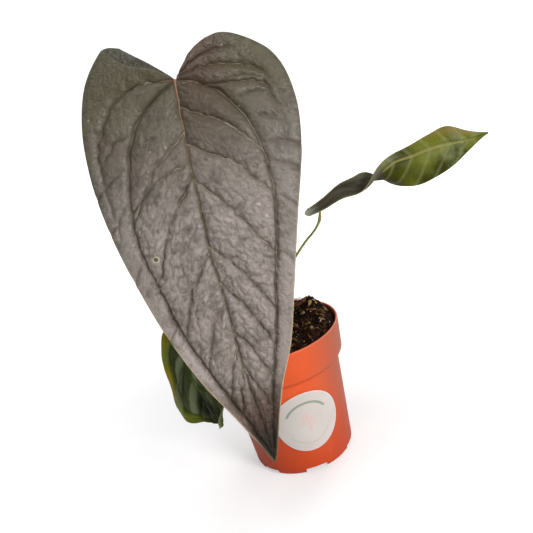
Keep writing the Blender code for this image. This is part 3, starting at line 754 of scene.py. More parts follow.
def flatBlade(leaf, fan=0.30):
    midrib = scaled(leaf["midribLine"], leaf)
    halves = [
        halfBlade(
            scaled(leaf[inner], leaf), scaled(leaf[outer], leaf), midrib, leaf["rows"], leaf["columns"], fan
        )
        for inner, outer in (("innerLeft", "outerLeft"), ("innerRight", "outerRight"))
    ]
    return joinHalves(halves)


def hangLarge(across, down, height, leaf):
    # the blade hangs forwards, arched from base to tip and drooping to both sides
    start = math.radians(leaf["tiltTop"])
    rate = (math.radians(leaf["tiltTip"]) - start) / leaf["length"]
    tilt = start + rate * down
    forward = (math.cos(start) - np.cos(tilt)) / rate
    fall = (np.sin(tilt) - math.sin(start)) / rate
    droop = -leaf["droop"] * (across / leaf["halfWidth"]) ** 2
    lift = droop + height
    base = leaf["base"]
    return np.stack([
        base[0] + across - leaf["lean"] * down,
        base[1] - forward - np.cos(tilt) * lift,
        base[2] - fall + np.sin(tilt) * lift,
    ], 1)


def makeLargeLeaf():
    leaf = largeLeaf
    points, inward, faces = flatBlade(leaf)
    height, masks = reliefOf(points, inward, designOf(leaf))
    across, down = points.T
    # the left lobe's inner flap is turned away along a crease
    crease = smoothCurve(scaled(leaf["flapCrease"], leaf), 30)
    away, _, side = distanceTo(points, crease)
    flap = np.where((side > 0) & (across < 0) & (down < 0), away, 0)
    height = height - leaf["flapSlope"] * flap
    masks["flap"] = np.clip(flap / (4 * mm), 0, 1)
    # the margin waves gently, and the whole blade is a little uneven
    rim = np.exp(-inward / (9 * mm))
    height += rim * waves(points, 46 * mm, 21) * 1.1 * mm
    height += waves(points, 70 * mm, 22) * 0.9 * mm * smoothstep(inward, 0, 15 * mm)
    height -= rim * 0.5 * mm
    places = hangLarge(across, down, height, leaf)
    bladeObject(
        "leafLarge", places, faces, points, masks, [velvetTop(), velvetUnder()],
        leaf["thickness"], ["leaf_large"],
    )


def thinLine(tree, distance, width, soft=0.25):
    # 1 on the line, falling to 0 at its width, in millimetres
    away = mathNode(tree, "ABSOLUTE", distance)
    return between(tree, away, width, width + soft, 1.0, 0.0)


def sideVeinLine(tree, width):
    # the running count is whole on each side vein, so its fraction gives the distance in mm
    part = mathNode(tree, "FRACT", attribute(tree, "phase"))
    near = mathNode(tree, "MINIMUM", part, minus(tree, 1.0, part))
    return thinLine(tree, times(tree, near, attribute(tree, "gap")), width)


def velvetTop():
    # velvety upper skin: a painted grey sheen on the raised parts over the leaf's dark olive brown, with
    # painted shade in the creases
    material, tree, shader = newMaterial("velvetLeaf")
    widthMm, lengthMm = largeLeaf["halfWidth"] / mm, largeLeaf["length"] / mm
    place = objectPlace(tree)
    raised, down, across = attribute(tree, "raised"), attribute(tree, "down"), attribute(tree, "across")
    ribDistance = attribute(tree, "ribDistance")
    mottle = noise(tree, place, 55, 5, 0.66)
    patch = noise(tree, place, 21, 2, 0.5)
    # painted sheen: grey colour standing in for the velvet's sheen, strongest in the middle of the blade,
    # weaker towards the base and nearly none at the tip
    paintedSheen = ramp(tree, down, [
        (0.0, (0.070, 0.059, 0.030)), (0.15, (0.112, 0.093, 0.066)), (0.38, (0.300, 0.260, 0.233)),
        (0.76, (0.295, 0.248, 0.223)), (0.87, (0.120, 0.080, 0.062)), (0.95, (0.030, 0.018, 0.006)),
        (1.0, (0.014, 0.009, 0.002)),
    ])
    brown = mixColour(tree, between(tree, patch, 0.40, 0.62), (0.036, 0.031, 0.013), (0.062, 0.036, 0.024))
    lifted = times(tree, raised, between(tree, mottle, 0.28, 0.66, 0.45, 1.0))
    # less painted sheen on the band outside the collective vein
    outerBand = times(
        tree, between(tree, ribDistance, 0.2, 2.5, 0.0, 0.50), between(tree, down, 0.06, 0.20)
    )
    outerBand = times(tree, outerBand, between(tree, down, 0.42, 0.62, 1.0, 0.2))
    paintedSheen = paint(tree, paintedSheen, (0.085, 0.075, 0.060), outerBand)
    # the painted sheen covers the raised parts, and the creases keep the dark olive brown
    colour = mixColour(tree, between(tree, lifted, 0.05, 0.72), brown, paintedSheen)
    rim = between(tree, attribute(tree, "inward"), 0.0, 0.09, 0.7, 0.0)
    colour = paint(tree, colour, (0.050, 0.046, 0.014), rim, between(tree, down, 0.15, 0.5, 1.0, 0.1))
    # painted shade as warm brown patches to the right of the midrib near the top, and a warm tint near the tip
    warmShadeAndTip = times(tree, between(tree, across, -0.05, 0.08), between(tree, across, 0.34, 0.58, 1.0, 0.0))
    warmShadeAndTip = times(tree, warmShadeAndTip, between(tree, down, 0.04, 0.26, 1.0, 0.0))
    tipWarm = times(tree, between(tree, down, 0.80, 0.90), between(tree, across, -0.12, 0.02))
    warmShadeAndTip = larger(tree, warmShadeAndTip, tipWarm)
    colour = paint(tree, colour, (0.062, 0.036, 0.020), warmShadeAndTip, between(tree, patch, 0.3, 0.6, 0.55, 0.95))
    # the fine net, drawn in the blade's own plane
    inPlane = tree.nodes.new("ShaderNodeCombineXYZ")
    acrossMm = times(tree, across, widthMm)
    shear = times(tree, mathNode(tree, "ABSOLUTE", acrossMm), 0.40)
    slant = minus(tree, times(tree, down, lengthMm), shear)
    tree.links.new(acrossMm, inPlane.inputs[0])
    tree.links.new(slant, inPlane.inputs[1])
    net = placeGroup(tree, skinCells, Vector=inPlane.outputs[0], Scale=0.30, Warp=0.5)
    pores = placeGroup(tree, skinCells, Vector=inPlane.outputs[0], Scale=1.0, Warp=0.2)
    calm = attribute(tree, "calm")
    # painted shade: the net's creases and the grooves of the net and small veins are darkened
    netCreaseShade = times(tree, net["Crease"], between(tree, mottle, 0.36, 0.62, 0.0, 0.4))
    netCreaseShade = times(tree, netCreaseShade, between(tree, calm, 0.2, 0.8, 0.25, 0.9))
    colour = paint(tree, colour, (0.034, 0.027, 0.016), netCreaseShade)
    colour = paint(tree, colour, (0.038, 0.030, 0.018), attribute(tree, "netVein"), 0.34)
    colour = paint(tree, colour, (0.040, 0.032, 0.020), attribute(tree, "smallVein"), 0.25)
    # soft dark blotches, then dark pits and small scars
    blotches = between(tree, noise(tree, place, 95, 4, 0.7), 0.50, 0.64, 0.0, 0.45)
    colour = paint(tree, colour, (0.052, 0.037, 0.026), blotches)
    pits = between(tree, noise(tree, place, 260, 3, 0.7), 0.60, 0.72)
    colour = paint(tree, colour, (0.030, 0.024, 0.014), pits, 0.45)
    # painted shade: a dark line beside each vein, along the band and basal veins and the midrib, and a dark
    # side inside the collective vein; then the thin pale vein itself
    inner = between(tree, ribDistance, 0.0, 1.0, 1.0, 0.0)
    colour = paint(tree, colour, (0.036, 0.031, 0.013), sideVeinLine(tree, 0.30), times(tree, inner, 0.30))
    colour = paint(
        tree, colour, (0.034, 0.030, 0.013), thinLine(tree, attribute(tree, "bandDistance"), 0.15, 0.35),
        0.40
    )
    shadeBesideRib = between(tree, ribDistance, -1.9, -0.3, 0.0, 1.0)
    shadeBesideRib = times(tree, shadeBesideRib, between(tree, ribDistance, 0.1, 0.5, 1.0, 0.0))
    colour = paint(tree, colour, (0.036, 0.030, 0.012), shadeBesideRib, 0.75)
    colour = paint(
        tree, colour, (0.040, 0.034, 0.014), thinLine(tree, attribute(tree, "basalDistance"), 0.20, 0.4),
        0.40
    )
    middle = attribute(tree, "midDistance")
    colour = paint(tree, colour, (0.036, 0.030, 0.014), thinLine(tree, middle, 0.4, 0.6), 0.65)
    pale = mixColour(tree, between(tree, mottle, 0.35, 0.65), (0.25, 0.225, 0.155), (0.42, 0.38, 0.29))
    broken = between(tree, noise(tree, place, 130, 2, 0.5), 0.40, 0.60, 0.50, 1.0)
    paleLines = times(tree, sideVeinLine(tree, 0.13), times(tree, inner, 0.85))
    paleLines = larger(tree, paleLines, times(tree, thinLine(tree, ribDistance, 0.13, 0.26), 0.80))
    paleLines = larger(
        tree, paleLines, times(tree, thinLine(tree, attribute(tree, "basalDistance"), 0.14, 0.26), 0.70)
    )
    colour = paint(tree, colour, pale, paleLines, broken)
    midColour = ramp(tree, down, [
        (0.0, (0.27, 0.13, 0.065)), (0.10, (0.23, 0.125, 0.050)), (0.20, (0.18, 0.110, 0.042)),
        (0.40, (0.15, 0.115, 0.050)), (0.60, (0.22, 0.19, 0.120)), (1.0, (0.13, 0.095, 0.040)),
    ])
    colour = paint(tree, colour, midColour, thinLine(tree, middle, 0.20, 0.24), 0.85)
    thickest = larger(
        tree, thinLine(tree, ribDistance, 0.10, 0.25),
        thinLine(tree, attribute(tree, "basalDistance"), 0.10, 0.25)
    )
    thickest = larger(tree, thickest, thinLine(tree, middle, 0.3, 0.3))
    colour = paint(tree, colour, (0.34, 0.16, 0.10), attribute(tree, "joint"), times(tree, thickest, 0.8))
    # painted shade on the turned-away flap of the left lobe
    flap = between(tree, attribute(tree, "flap"), 0.01, 0.16, 0.0, 0.85)
    colour = paint(tree, colour, (0.026, 0.022, 0.007), flap)
    # towards the tip the colour turns reddish, then a deep, nearly black olive brown
    colour = paint(tree, colour, (0.085, 0.038, 0.026), between(tree, down, 0.78, 0.88, 0.0, 0.30))
    colour = paint(tree, colour, (0.010, 0.006, 0.001), between(tree, down, 0.86, 0.96, 0.0, 0.90))
    margin = times(tree, attribute(tree, "edge"), between(tree, down, 0.20, 0.50, 0.10, 0.9))
    margin = times(tree, margin, between(tree, down, 0.88, 0.97, 1.0, 0.25))
    colour = paint(tree, colour, (0.50, 0.40, 0.24), margin)
    # one ring-shaped scar and one pale fleck
    for centre, size, kind in largeLeaf["scars"]:
        dx = times(tree, minus(tree, across, centre[0]), widthMm)
        dy = times(tree, minus(tree, down, centre[1]), lengthMm)
        far = mathNode(tree, "SQRT", plus(tree, times(tree, dx, dx), times(tree, dy, dy)))
        far = plus(tree, far, between(tree, mottle, 0.3, 0.7, -0.2, 0.2))
        if kind == "ring":
            colour = paint(
                tree, colour, (0.030, 0.024, 0.014), between(tree, far, size * 0.6, size, 0.8, 0.0)
            )
            ring = thinLine(tree, minus(tree, far, size), 0.16, 0.25)
        else:
            ring = between(tree, far, size * 0.5, size, 1.0, 0.0)
        colour = paint(tree, colour, (0.42, 0.39, 0.25), ring, 0.9)
    dots = placeGroup(tree, specks, Vector=place, Scale=300.0, Size=0.12, Share=0.05)
    colour = paint(tree, colour, (0.36, 0.35, 0.31), dots["Dots"], 0.6)
    tree.links.new(colour, shader.inputs["Base Color"])
    rough = plus(
        tree, between(tree, lifted, 0.1, 0.8, 0.56, 0.38), between(tree, down, 0.86, 0.97, 0.0, 0.22)
    )
    setSkin(
        tree, shader,
        {
            "Roughness": rough, "Specular IOR Level": 0.46, "Sheen Weight": 0.04, "Sheen Roughness": 0.45,
            "Sheen Tint": (0.92, 0.86, 0.88, 1)
        }
    )
    grain = noise(tree, place, 1500, 2, 0.6)
    lumps = noise(tree, place, 300, 4, 0.65)
    normal = bump(tree, lumps, 0.8, 0.0007)
    normal = bump(
        tree, times(tree, net["Height"], between(tree, calm, 0.2, 0.8, 0.4, 1.0)), 0.8, 0.00045, normal
    )
    normal = bump(tree, pores["Height"], 0.4, 0.00012, normal)
    normal = bump(tree, grain, 0.3, 0.0001, normal)
    tree.links.new(normal, shader.inputs["Normal"])
    return material


def velvetUnder():
    # paler, smoother underside with the veins standing out
    material, tree, shader = newMaterial("velvetLeafUnder")
    place = objectPlace(tree)
    mottle = noise(tree, place, 45, 4, 0.6)
    colour = mixColour(tree, between(tree, mottle, 0.3, 0.7), (0.165, 0.138, 0.082), (0.245, 0.200, 0.125))
    veins = larger(tree, sideVeinLine(tree, 0.4), thinLine(tree, attribute(tree, "ribDistance"), 0.6, 0.6))
    veins = larger(tree, veins, thinLine(tree, attribute(tree, "midDistance"), 1.0, 0.6))
    colour = paint(tree, colour, (0.19, 0.13, 0.075), attribute(tree, "netVein"), 0.35)
    colour = paint(tree, colour, (0.26, 0.20, 0.105), veins, 0.75)
    setSkin(tree, shader, {"Base Color": colour, "Roughness": 0.55})
    fine = placeGroup(tree, skinCells, Vector=place, Scale=620.0, Warp=0.003)
    tree.links.new(bump(tree, fine["Height"], 0.35, 0.00015), shader.inputs["Normal"])
    return material


oldLeaf = {
    "length": 55 * mm, "halfWidth": 19.5 * mm, "reach": 44.7 * mm, "rise": 15.0 * mm, "thickness": 0.5 * mm,
    "rows": 150, "columns": 44, "seed": 23,
    # the way its width runs, and the way its face looks
    "widthWay": (0.8, -0.6, 0), "faceWay": (-0.6, -0.8, 0),
    "innerLeft": [(0.08, 0), (0.03, -0.05), (-0.02, -0.10), (-0.09, -0.122), (-0.18, -0.13)],
    "outerLeft": [
        (-0.18, -0.13), (-0.32, -0.105), (-0.45, -0.06), (-0.64, 0.08), (-0.79, 0.22), (-0.85, 0.44),
        (-0.88, 0.60), (-0.99, 0.78), (-0.88, 0.89), (-0.50, 0.94), (-0.10, 0.905), (0.20, 0.93),
        (0.33, 0.955), (0.44, 0.98),
    ],
    "innerRight": [(0.08, 0), (0.13, -0.045), (0.22, -0.09), (0.35, -0.12), (0.50, -0.13)],
    "outerRight": [
        (0.50, -0.13), (0.66, -0.105), (0.80, -0.06), (0.97, 0.12), (1.0, 0.36), (0.92, 0.60),
        (0.70, 0.82), (0.57, 0.90), (0.44, 0.98),
    ],
    "midribLine": [
        (0.08, 0), (0.02, 0.15), (-0.02, 0.30), (0.02, 0.50), (0.14, 0.72), (0.30, 0.88), (0.44, 0.98)
    ],
    "collectiveLeft": [
        (0.06, 0.005), (-0.20, 0.00), (-0.42, 0.12), (-0.55, 0.30), (-0.58, 0.50), (-0.62, 0.70),
        (-0.50, 0.82),
        (-0.20, 0.86), (0.10, 0.88), (0.40, 0.97),
    ],
    "collectiveRight": [
        (0.10, 0.005), (0.36, 0.00), (0.60, 0.14), (0.70, 0.36), (0.64, 0.60), (0.52, 0.80), (0.45, 0.96)
    ],
    "basalLines": [
        [(0.05, 0.0), (-0.15, -0.05), (-0.32, -0.04), (-0.55, 0.10)],
        [(0.10, 0.0), (0.34, -0.06), (0.60, -0.05), (0.80, 0.10)]
    ],
    "lateralsLeft": [(0.10, 0.34, 1.2), (0.25, 0.55, 1.2), (0.42, 0.74, 1.0)],
    "lateralsRight": [(0.10, 0.32, 1.2), (0.26, 0.50, 1.0), (0.42, 0.66, 0.8), (0.60, 0.80, 0.4)],
    "pad": 1.1 * mm, "padReach": 3.6 * mm, "crease": 0.35 * mm, "ribDepth": 0.5 * mm, "midDepth": 0.5 * mm,
    "cellSize": (5.5 * mm, 4.6 * mm), "cellPad": 0.08 * mm, "smallCell": (2.6 * mm, 2.2 * mm),
    "smallPad": 0.03 * mm,
    # lines along which the drying blade has creased: from, to, depth, width
    "creases": [
        ((-0.16, 0.30), (-0.62, 0.66), 1.7 * mm, 1.5 * mm),
        ((0.15, 0.55), (-0.22, 0.86), 1.9 * mm, 1.2 * mm),
        ((0.20, 0.60), (0.08, 0.92), 1.7 * mm, 0.9 * mm), ((0.32, 0.58), (0.34, 0.94), 1.3 * mm, 0.9 * mm),
    ],
    "curlFrom": (0.50, 0.85), "curlTo": (0.26, 1.0), "curlAngle": 125.0,
}


def oldLeafBase():
    reach = oldLeaf["reach"]
    return np.array([-1.02 * reach, -0.342 * reach, potHeight + oldLeaf["rise"]])


def makeOldLeaf():
    leaf = oldLeaf
    points, inward, faces = flatBlade(leaf)
    height, masks = reliefOf(points, inward, designOf(leaf))
    half, length = leaf["halfWidth"], leaf["length"]
    across, down = points.T.copy()
    crumple = np.zeros(len(points))
    for first, last, depth, width in leaf["creases"]:
        path = smoothCurve(scaled([first, last], leaf), 12)
        away, along, _ = distanceTo(points, path)
        crumple = np.maximum(
            crumple,
            np.exp(-((away / width) ** 2)) * np.sin(np.pi * np.clip(along, 0.02, 0.98)) ** 0.5 * depth
        )
    masks["crease"] = np.clip(crumple / (1.8 * mm), 0, 1)
    cup = 2 * mm * (1 - np.exp(-((across / (5 * mm)) ** 2))) - 4 * mm * (across / half) ** 2
    backward = np.maximum(down / length - 0.6, 0) ** 2 * 26 * mm
    fold = 0.8 * mm * np.cos(across / half * 9) * down / length
    lift = cup + fold - backward + height - crumple
    lift += np.exp(-inward / (4 * mm)) * (waves(points, 24 * mm, 31) * 0.8 * mm + 0.4 * mm)
    # the tip and the margin beside it have curled over towards the front
    start = np.array([leaf["curlFrom"][0] * half, leaf["curlFrom"][1] * length])
    end = np.array([leaf["curlTo"][0] * half, leaf["curlTo"][1] * length])
    line = (end - start) / np.linalg.norm(end - start)
    outwards = np.array([-line[1], line[0]])
    if (np.array([0.7 * half, length]) - start) @ outwards < 0:
        outwards = -outwards
    beyond = np.maximum((points - start) @ outwards, 0)
    turn = math.radians(leaf["curlAngle"]) * (1 - np.exp(-beyond / (2.2 * mm)))
    back = beyond * (1 - np.cos(turn))
    across = across - back * outwards[0]
    down = down - back * outwards[1]
    lift = lift + beyond * np.sin(turn) + smoothstep(beyond, 0, 2 * mm) * 0.8 * mm
    masks["curl"] = smoothstep(beyond, 0.5 * mm, 3 * mm)
    places = oldLeafBase() + np.outer(across, leaf["widthWay"])
    places = places + np.outer(down, (0, 0, -1)) + np.outer(lift, leaf["faceWay"])
    bladeObject(
        "leafOld", places, faces, points, masks, [glossyTop(), glossyUnder()],
        leaf["thickness"], ["leaf_old"],
    )


def glossyTop():
    # glossy green skin with a greyish bloom, yellowing along the margin
    material, tree, shader = newMaterial("glossyLeaf")
    place = objectPlace(tree)
    down, across = attribute(tree, "down"), attribute(tree, "across")
    mottle = noise(tree, place, 70, 4, 0.6)
    patch = noise(tree, place, 42, 2, 0.5)
    base = mixColour(tree, between(tree, mottle, 0.3, 0.7), (0.036, 0.054, 0.007), (0.062, 0.086, 0.012))
    # soft greyish bands that run down and inwards between the grooves
    run = plus(tree, times(tree, down, 1.6), times(tree, across, 1.3))
    run = plus(tree, run, between(tree, patch, 0.3, 0.7, -0.10, 0.10))
    wave = mathNode(tree, "SINE", times(tree, run, 9.0))
    grey = times(tree, between(tree, wave, -0.3, 0.8), attribute(tree, "raised"))
    colour = mixColour(tree, times(tree, grey, 0.90), base, (0.205, 0.235, 0.120))
    dark = times(tree, between(tree, down, 0.40, 0.74), between(tree, across, -0.25, 0.15))
    colour = paint(tree, colour, (0.010, 0.015, 0.006), dark, 0.85)
    rim = between(tree, attribute(tree, "inward"), 0.095, 0.210, 1.0, 0.0)
    yellow = mixColour(
        tree, between(tree, mottle, 0.35, 0.65), (0.200, 0.220, 0.003), (0.340, 0.260, 0.006)
    )
    yellow = paint(tree, yellow, (0.080, 0.120, 0.004), between(tree, patch, 0.45, 0.60, 0.0, 0.7))
    leftSide = between(tree, across, -0.35, -0.05, 1.0, 0.15)
    colour = paint(tree, colour, yellow, rim, leftSide)
    # painted shade: the creases are darkened to a near-black green
    colour = paint(tree, colour, (0.008, 0.012, 0.002), attribute(tree, "crease"), 0.90)
    veins = larger(tree, sideVeinLine(tree, 0.10), thinLine(tree, attribute(tree, "ribDistance"), 0.1))
    veins = larger(tree, veins, thinLine(tree, attribute(tree, "midDistance"), 0.35))
    colour = paint(tree, colour, (0.080, 0.090, 0.020), veins, 0.40)
    spots = placeGroup(tree, specks, Vector=place, Scale=420.0, Size=0.16, Share=0.05)
    colour = paint(tree, colour, (0.10, 0.075, 0.02), spots["Dots"], 0.5)
    colour = paint(tree, colour, (0.17, 0.25, 0.075), attribute(tree, "curl"))
    setSkin(
        tree, shader,
        {
            "Base Color": colour, "Roughness": between(tree, mottle, 0.3, 0.7, 0.34, 0.46),
            "Specular IOR Level": 0.12
        }
    )
    fine = placeGroup(tree, skinCells, Vector=place, Scale=900.0, Warp=0.002)
    normal = bump(tree, mottle, 0.5, 0.0009)
    tree.links.new(bump(tree, fine["Height"], 0.25, 0.00012, normal), shader.inputs["Normal"])
    return material


def glossyUnder():
    material, tree, shader = newMaterial("glossyLeafUnder")
    place = objectPlace(tree)
    mottle = noise(tree, place, 60, 4, 0.6)
    colour = mixColour(tree, between(tree, mottle, 0.3, 0.7), (0.16, 0.24, 0.075), (0.27, 0.36, 0.15))
    veins = larger(tree, sideVeinLine(tree, 0.25), thinLine(tree, attribute(tree, "midDistance"), 0.6))
    colour = paint(tree, colour, (0.34, 0.38, 0.16), veins, 0.5)
    colour = paint(tree, colour, (0.15, 0.20, 0.03), attribute(tree, "edge"), 0.7)
    setSkin(tree, shader, {"Base Color": colour, "Roughness": 0.5})
    fine = placeGroup(tree, skinCells, Vector=place, Scale=800.0, Warp=0.002)
    tree.links.new(bump(tree, fine["Height"], 0.3, 0.00015), shader.inputs["Normal"])
    return material


newLeaf = {
    "base": (31.7 * mm, 0.0, potHeight + 56.0 * mm), "length": 98 * mm, "halfWidth": 11 * mm,
    "thickness": 0.4 * mm,
    "stations": 220, "cuts": 56,
    # along the leaf from base to tip: rise in mm, share of the half width, curl and turn in degrees
    "rise": [0.0, 2.4, 6.1, 6.6, 9.1, 8.7, 8.8, 11.0, 13.6, 14.1, 14.9],
    "half": [0.24, 0.38, 0.52, 0.64, 0.74, 0.84, 0.96, 1.00, 0.92, 0.42, 0.03],
    "curl": [170, 180, 180, 170, 130, 80, 50, 40, 30, 24, 20],
    "turn": [186, 190, 196, 222, 296, 352, 366, 366, 364, 364, 368],
    # where the midrib of the opened half runs, from the lower edge (-1) to the upper edge (1)
    "midrib": [0.0, 0.0, 0.0, 0.1, 0.35, 0.52, 0.47, 0.36, 0.12, 0.02, 0.0],
}


def smoothRead(values, t):
    # smooth values at t, from 0 to 1, off evenly spaced ones
    values = np.array(values, float)
    place = np.clip(t, 0, 1) * (len(values) - 1)
    i = np.minimum(place.astype(int), len(values) - 2)
    t = place - i
    before, start, end = values[np.maximum(i - 1, 0)], values[i], values[i + 1]
    after = values[np.minimum(i + 2, len(values) - 1)]
    square = (2 * before - 5 * start + 4 * end - after) * t * t
    cube = (3 * start - before - 3 * end + after) * t**3
    return start + ((end - before) * t + square + cube) / 2


def newLeafPlaces(t, s):
    # the blade as a twisted trough; returns places, the half width, the offset from the midrib and the gap to
    # the nearest side vein
    leaf = newLeaf
    half = smoothRead(leaf["half"], t) * leaf["halfWidth"] * np.sqrt(np.clip(t / 0.02, 0.02, 1))
    bend = np.radians(smoothRead(leaf["curl"], t)) / (2 * half)
    turn = np.radians(smoothRead(leaf["turn"], t))
    along = half * s
    up = np.sin(bend * along) / bend
    out = (1 - np.cos(bend * along)) / bend - (1 - np.cos(bend * half)) / (2 * bend)
    opened = smoothstep(t, 0.40, 0.52)
    middle = smoothRead(leaf["midrib"], t)
    offset = s - middle
    slant = t * 10.0 + np.abs(offset) * 0.8
    part = slant - np.floor(slant)
    gap = np.minimum(part, 1 - part)
    # soft pads between the side veins, and a crease along the midrib, on the opened half
    pads = 0.40 * mm * (1 - np.exp(-gap / 0.22)) * (1 - s**4) * opened
    groove = 0.7 * mm * np.exp(-((offset / 0.12) ** 2)) * opened
    ripples = 0.45 * mm * np.sin(s * 5 - t * 30) * (1 - opened) * (1 - s**2)
    out = out - (pads - groove - ripples) * np.sin(math.pi * np.clip(t, 0, 1)) ** 0.4
    y = np.cos(turn) * out + np.sin(turn) * up
    z = np.cos(turn) * up - np.sin(turn) * out + smoothRead(leaf["rise"], t) * mm
    x = leaf["length"] * t + 0 * s
    return np.stack([x, y, z], -1) + np.array(leaf["base"]), half, offset, gap


def makeNewLeaf():
    leaf = newLeaf
    t = np.linspace(0, 1, leaf["stations"] + 1)[:, None]
    s = np.linspace(-1, 1, leaf["cuts"] + 1)[None, :]
    places, half, offset, gap = newLeafPlaces(t, s)
    faces = gridQuads(*offset.shape)
    flat = np.stack([0 * t + s * leaf["halfWidth"], leaf["length"] * t + 0 * s], -1).reshape(-1, 2)
    masks = {
        "along": (t + 0 * s).ravel(), "side": (s + 0 * t).ravel(), "offset": offset.ravel(), "gap": gap.ravel(),
        "edge": np.exp(-(((1 - np.abs(s)) * half / (0.35 * mm)) ** 2)).ravel(),
    }
    bladeObject(
        "leafNew", places.reshape(-1, 3), faces.tolist(), flat, masks, [youngUnder(), youngUpper()],
        leaf["thickness"], ["leaf_new"],
    )


def youngUpper():
    # the dark satin upper face, seen where the blade is still rolled
    material, tree, shader = newMaterial("youngLeafUpper")
    place = objectPlace(tree)
    along, side = attribute(tree, "along"), attribute(tree, "side")
    streakPlace = tree.nodes.new("ShaderNodeCombineXYZ")
    tree.links.new(minus(tree, times(tree, along, 9.0), times(tree, side, -1.5)), streakPlace.inputs[0])
    tree.links.new(times(tree, side, 0.7), streakPlace.inputs[1])
    streaks = noise(tree, streakPlace.outputs[0], 1.3, 3, 0.5)
    light = times(tree, between(tree, streaks, 0.42, 0.58), between(tree, along, 0.20, 0.42, 1.0, 0.45))
    colour = mixColour(tree, light, (0.020, 0.013, 0.010), (0.125, 0.100, 0.088))
    tail = between(tree, along, 0.0, 0.11, 0.9, 0.0)
    colour = paint(tree, colour, (0.30, 0.32, 0.25), tail)
    edge = times(tree, attribute(tree, "edge"), 0.6)
    colour = paint(tree, colour, (0.22, 0.24, 0.10), edge)
    setSkin(
        tree, shader,
        {
            "Base Color": colour, "Roughness": between(tree, streaks, 0.3, 0.7, 0.52, 0.36),
            "Specular IOR Level": 0.4
        }
    )
    fine = placeGroup(tree, skinCells, Vector=place, Scale=900.0, Warp=0.002)
    normal = bump(tree, streaks, 0.6, 0.0008)
    tree.links.new(bump(tree, fine["Height"], 0.3, 0.00012, normal), shader.inputs["Normal"])
    return material


def youngUnder():
    # the green underside of the opened half, with pale veins and a pinkish brown upper band
    material, tree, shader = newMaterial("youngLeafUnder")
    place = objectPlace(tree)
    along, side, offset = attribute(tree, "along"), attribute(tree, "side"), attribute(tree, "offset")
    mottle = noise(tree, place, 60, 4, 0.6)
    patch = noise(tree, place, 55, 2, 0.5)
    base = mixColour(tree, between(tree, patch, 0.38, 0.62), (0.030, 0.034, 0.0005), (0.105, 0.116, 0.004))
    pale = times(tree, between(tree, mottle, 0.46, 0.68), between(tree, along, 0.60, 0.85, 0.10, 0.8))
    colour = mixColour(tree, times(tree, pale, 0.70), base, (0.27, 0.30, 0.13))
    band = times(tree, between(tree, offset, 0.30, 0.68), between(tree, patch, 0.30, 0.60, 0.25, 0.75))
    colour = paint(tree, colour, (0.165, 0.128, 0.034), band)
    line = thinLine(tree, attribute(tree, "gap"), 0.02, 0.16)
    colour = paint(tree, colour, (0.26, 0.29, 0.12), line, 0.22)
    middle = thinLine(tree, offset, 0.035, 0.07)
    colour = paint(tree, colour, (0.25, 0.23, 0.075), middle, 0.6)
    rolled = between(tree, along, 0.415, 0.445, 1.0, 0.0)
    colour = paint(tree, colour, (0.052, 0.042, 0.034), rolled, 0.9)
    colour = paint(tree, colour, (0.30, 0.32, 0.25), between(tree, along, 0.0, 0.09, 0.8, 0.0))
    waist = times(
        tree, between(tree, along, 0.47, 0.56, 1.0, 0.0),
        between(tree, mathNode(tree, "ABSOLUTE", side), 0.45, 0.8)
    )
    colour = paint(tree, colour, (0.22, 0.23, 0.14), waist, 0.35)
    colour = paint(tree, colour, (0.22, 0.19, 0.09), attribute(tree, "edge"), 0.7)
    tip = between(tree, along, 0.92, 1.0)
    colour = paint(tree, colour, (0.075, 0.110, 0.008), tip)
    setSkin(tree, shader, {"Base Color": colour, "Roughness": 0.42, "Specular IOR Level": 0.08})
    fine = placeGroup(tree, skinCells, Vector=place, Scale=850.0, Warp=0.002)
    normal = bump(tree, mottle, 0.5, 0.0008)
    tree.links.new(bump(tree, fine["Height"], 0.3, 0.00014, normal), shader.inputs["Normal"])
    return material


pot = {
    "collarHeight": 17.6 * mm, "collarFoot": 33.5 * mm, "bodyTop": 30.6 * mm, "base": 26.6 * mm,
    "wall": 1.1 * mm,
    "floor": 1.4 * mm, "edge": 1.0 * mm, "steps": 180, "drains": 6, "drainWidth": 12.0 * mm,
    "drainHeight": 2.8 * mm,
    "drainReach": 5.0 * mm, "drainTurn": 8.0,
}
collarZ = potHeight - pot["collarHeight"]
baseSlope = (pot["bodyTop"] - pot["base"]) / collarZ


def bodyRadius(z):
    return pot["base"] + baseSlope * z


def latheMesh(name, profile, steps, material):
    # profile runs from the axis and back to it, as (radius, height)
    bm = bmesh.new()
    rings = []
    for radius, z in profile:
        if radius < 1e-6:
            rings.append([bm.verts.new((0, 0, z))] * steps)
            continue
        ring = []
        for i in range(steps):
            angle = 2 * math.pi * i / steps
            ring.append(bm.verts.new((radius * math.cos(angle), radius * math.sin(angle), z)))
        rings.append(ring)
    bridgeRings(bm, rings)
    return newObject(name, meshFrom(name, bm), material)


def roundedCorner(before, corner, after, radius, steps=5):
    # a soft bend at a corner of a profile
    before, corner, after = (Vector(p) for p in (before, corner, after))
    start = corner + (before - corner).normalized() * min(radius, (before - corner).length * 0.49)
    end = corner + (after - corner).normalized() * min(radius, (after - corner).length * 0.49)
    found = []
    for i in range(steps + 1):
        t = i / steps
        found.append(tuple(start * (1 - t) ** 2 + corner * 2 * t * (1 - t) + end * t * t))
    return found


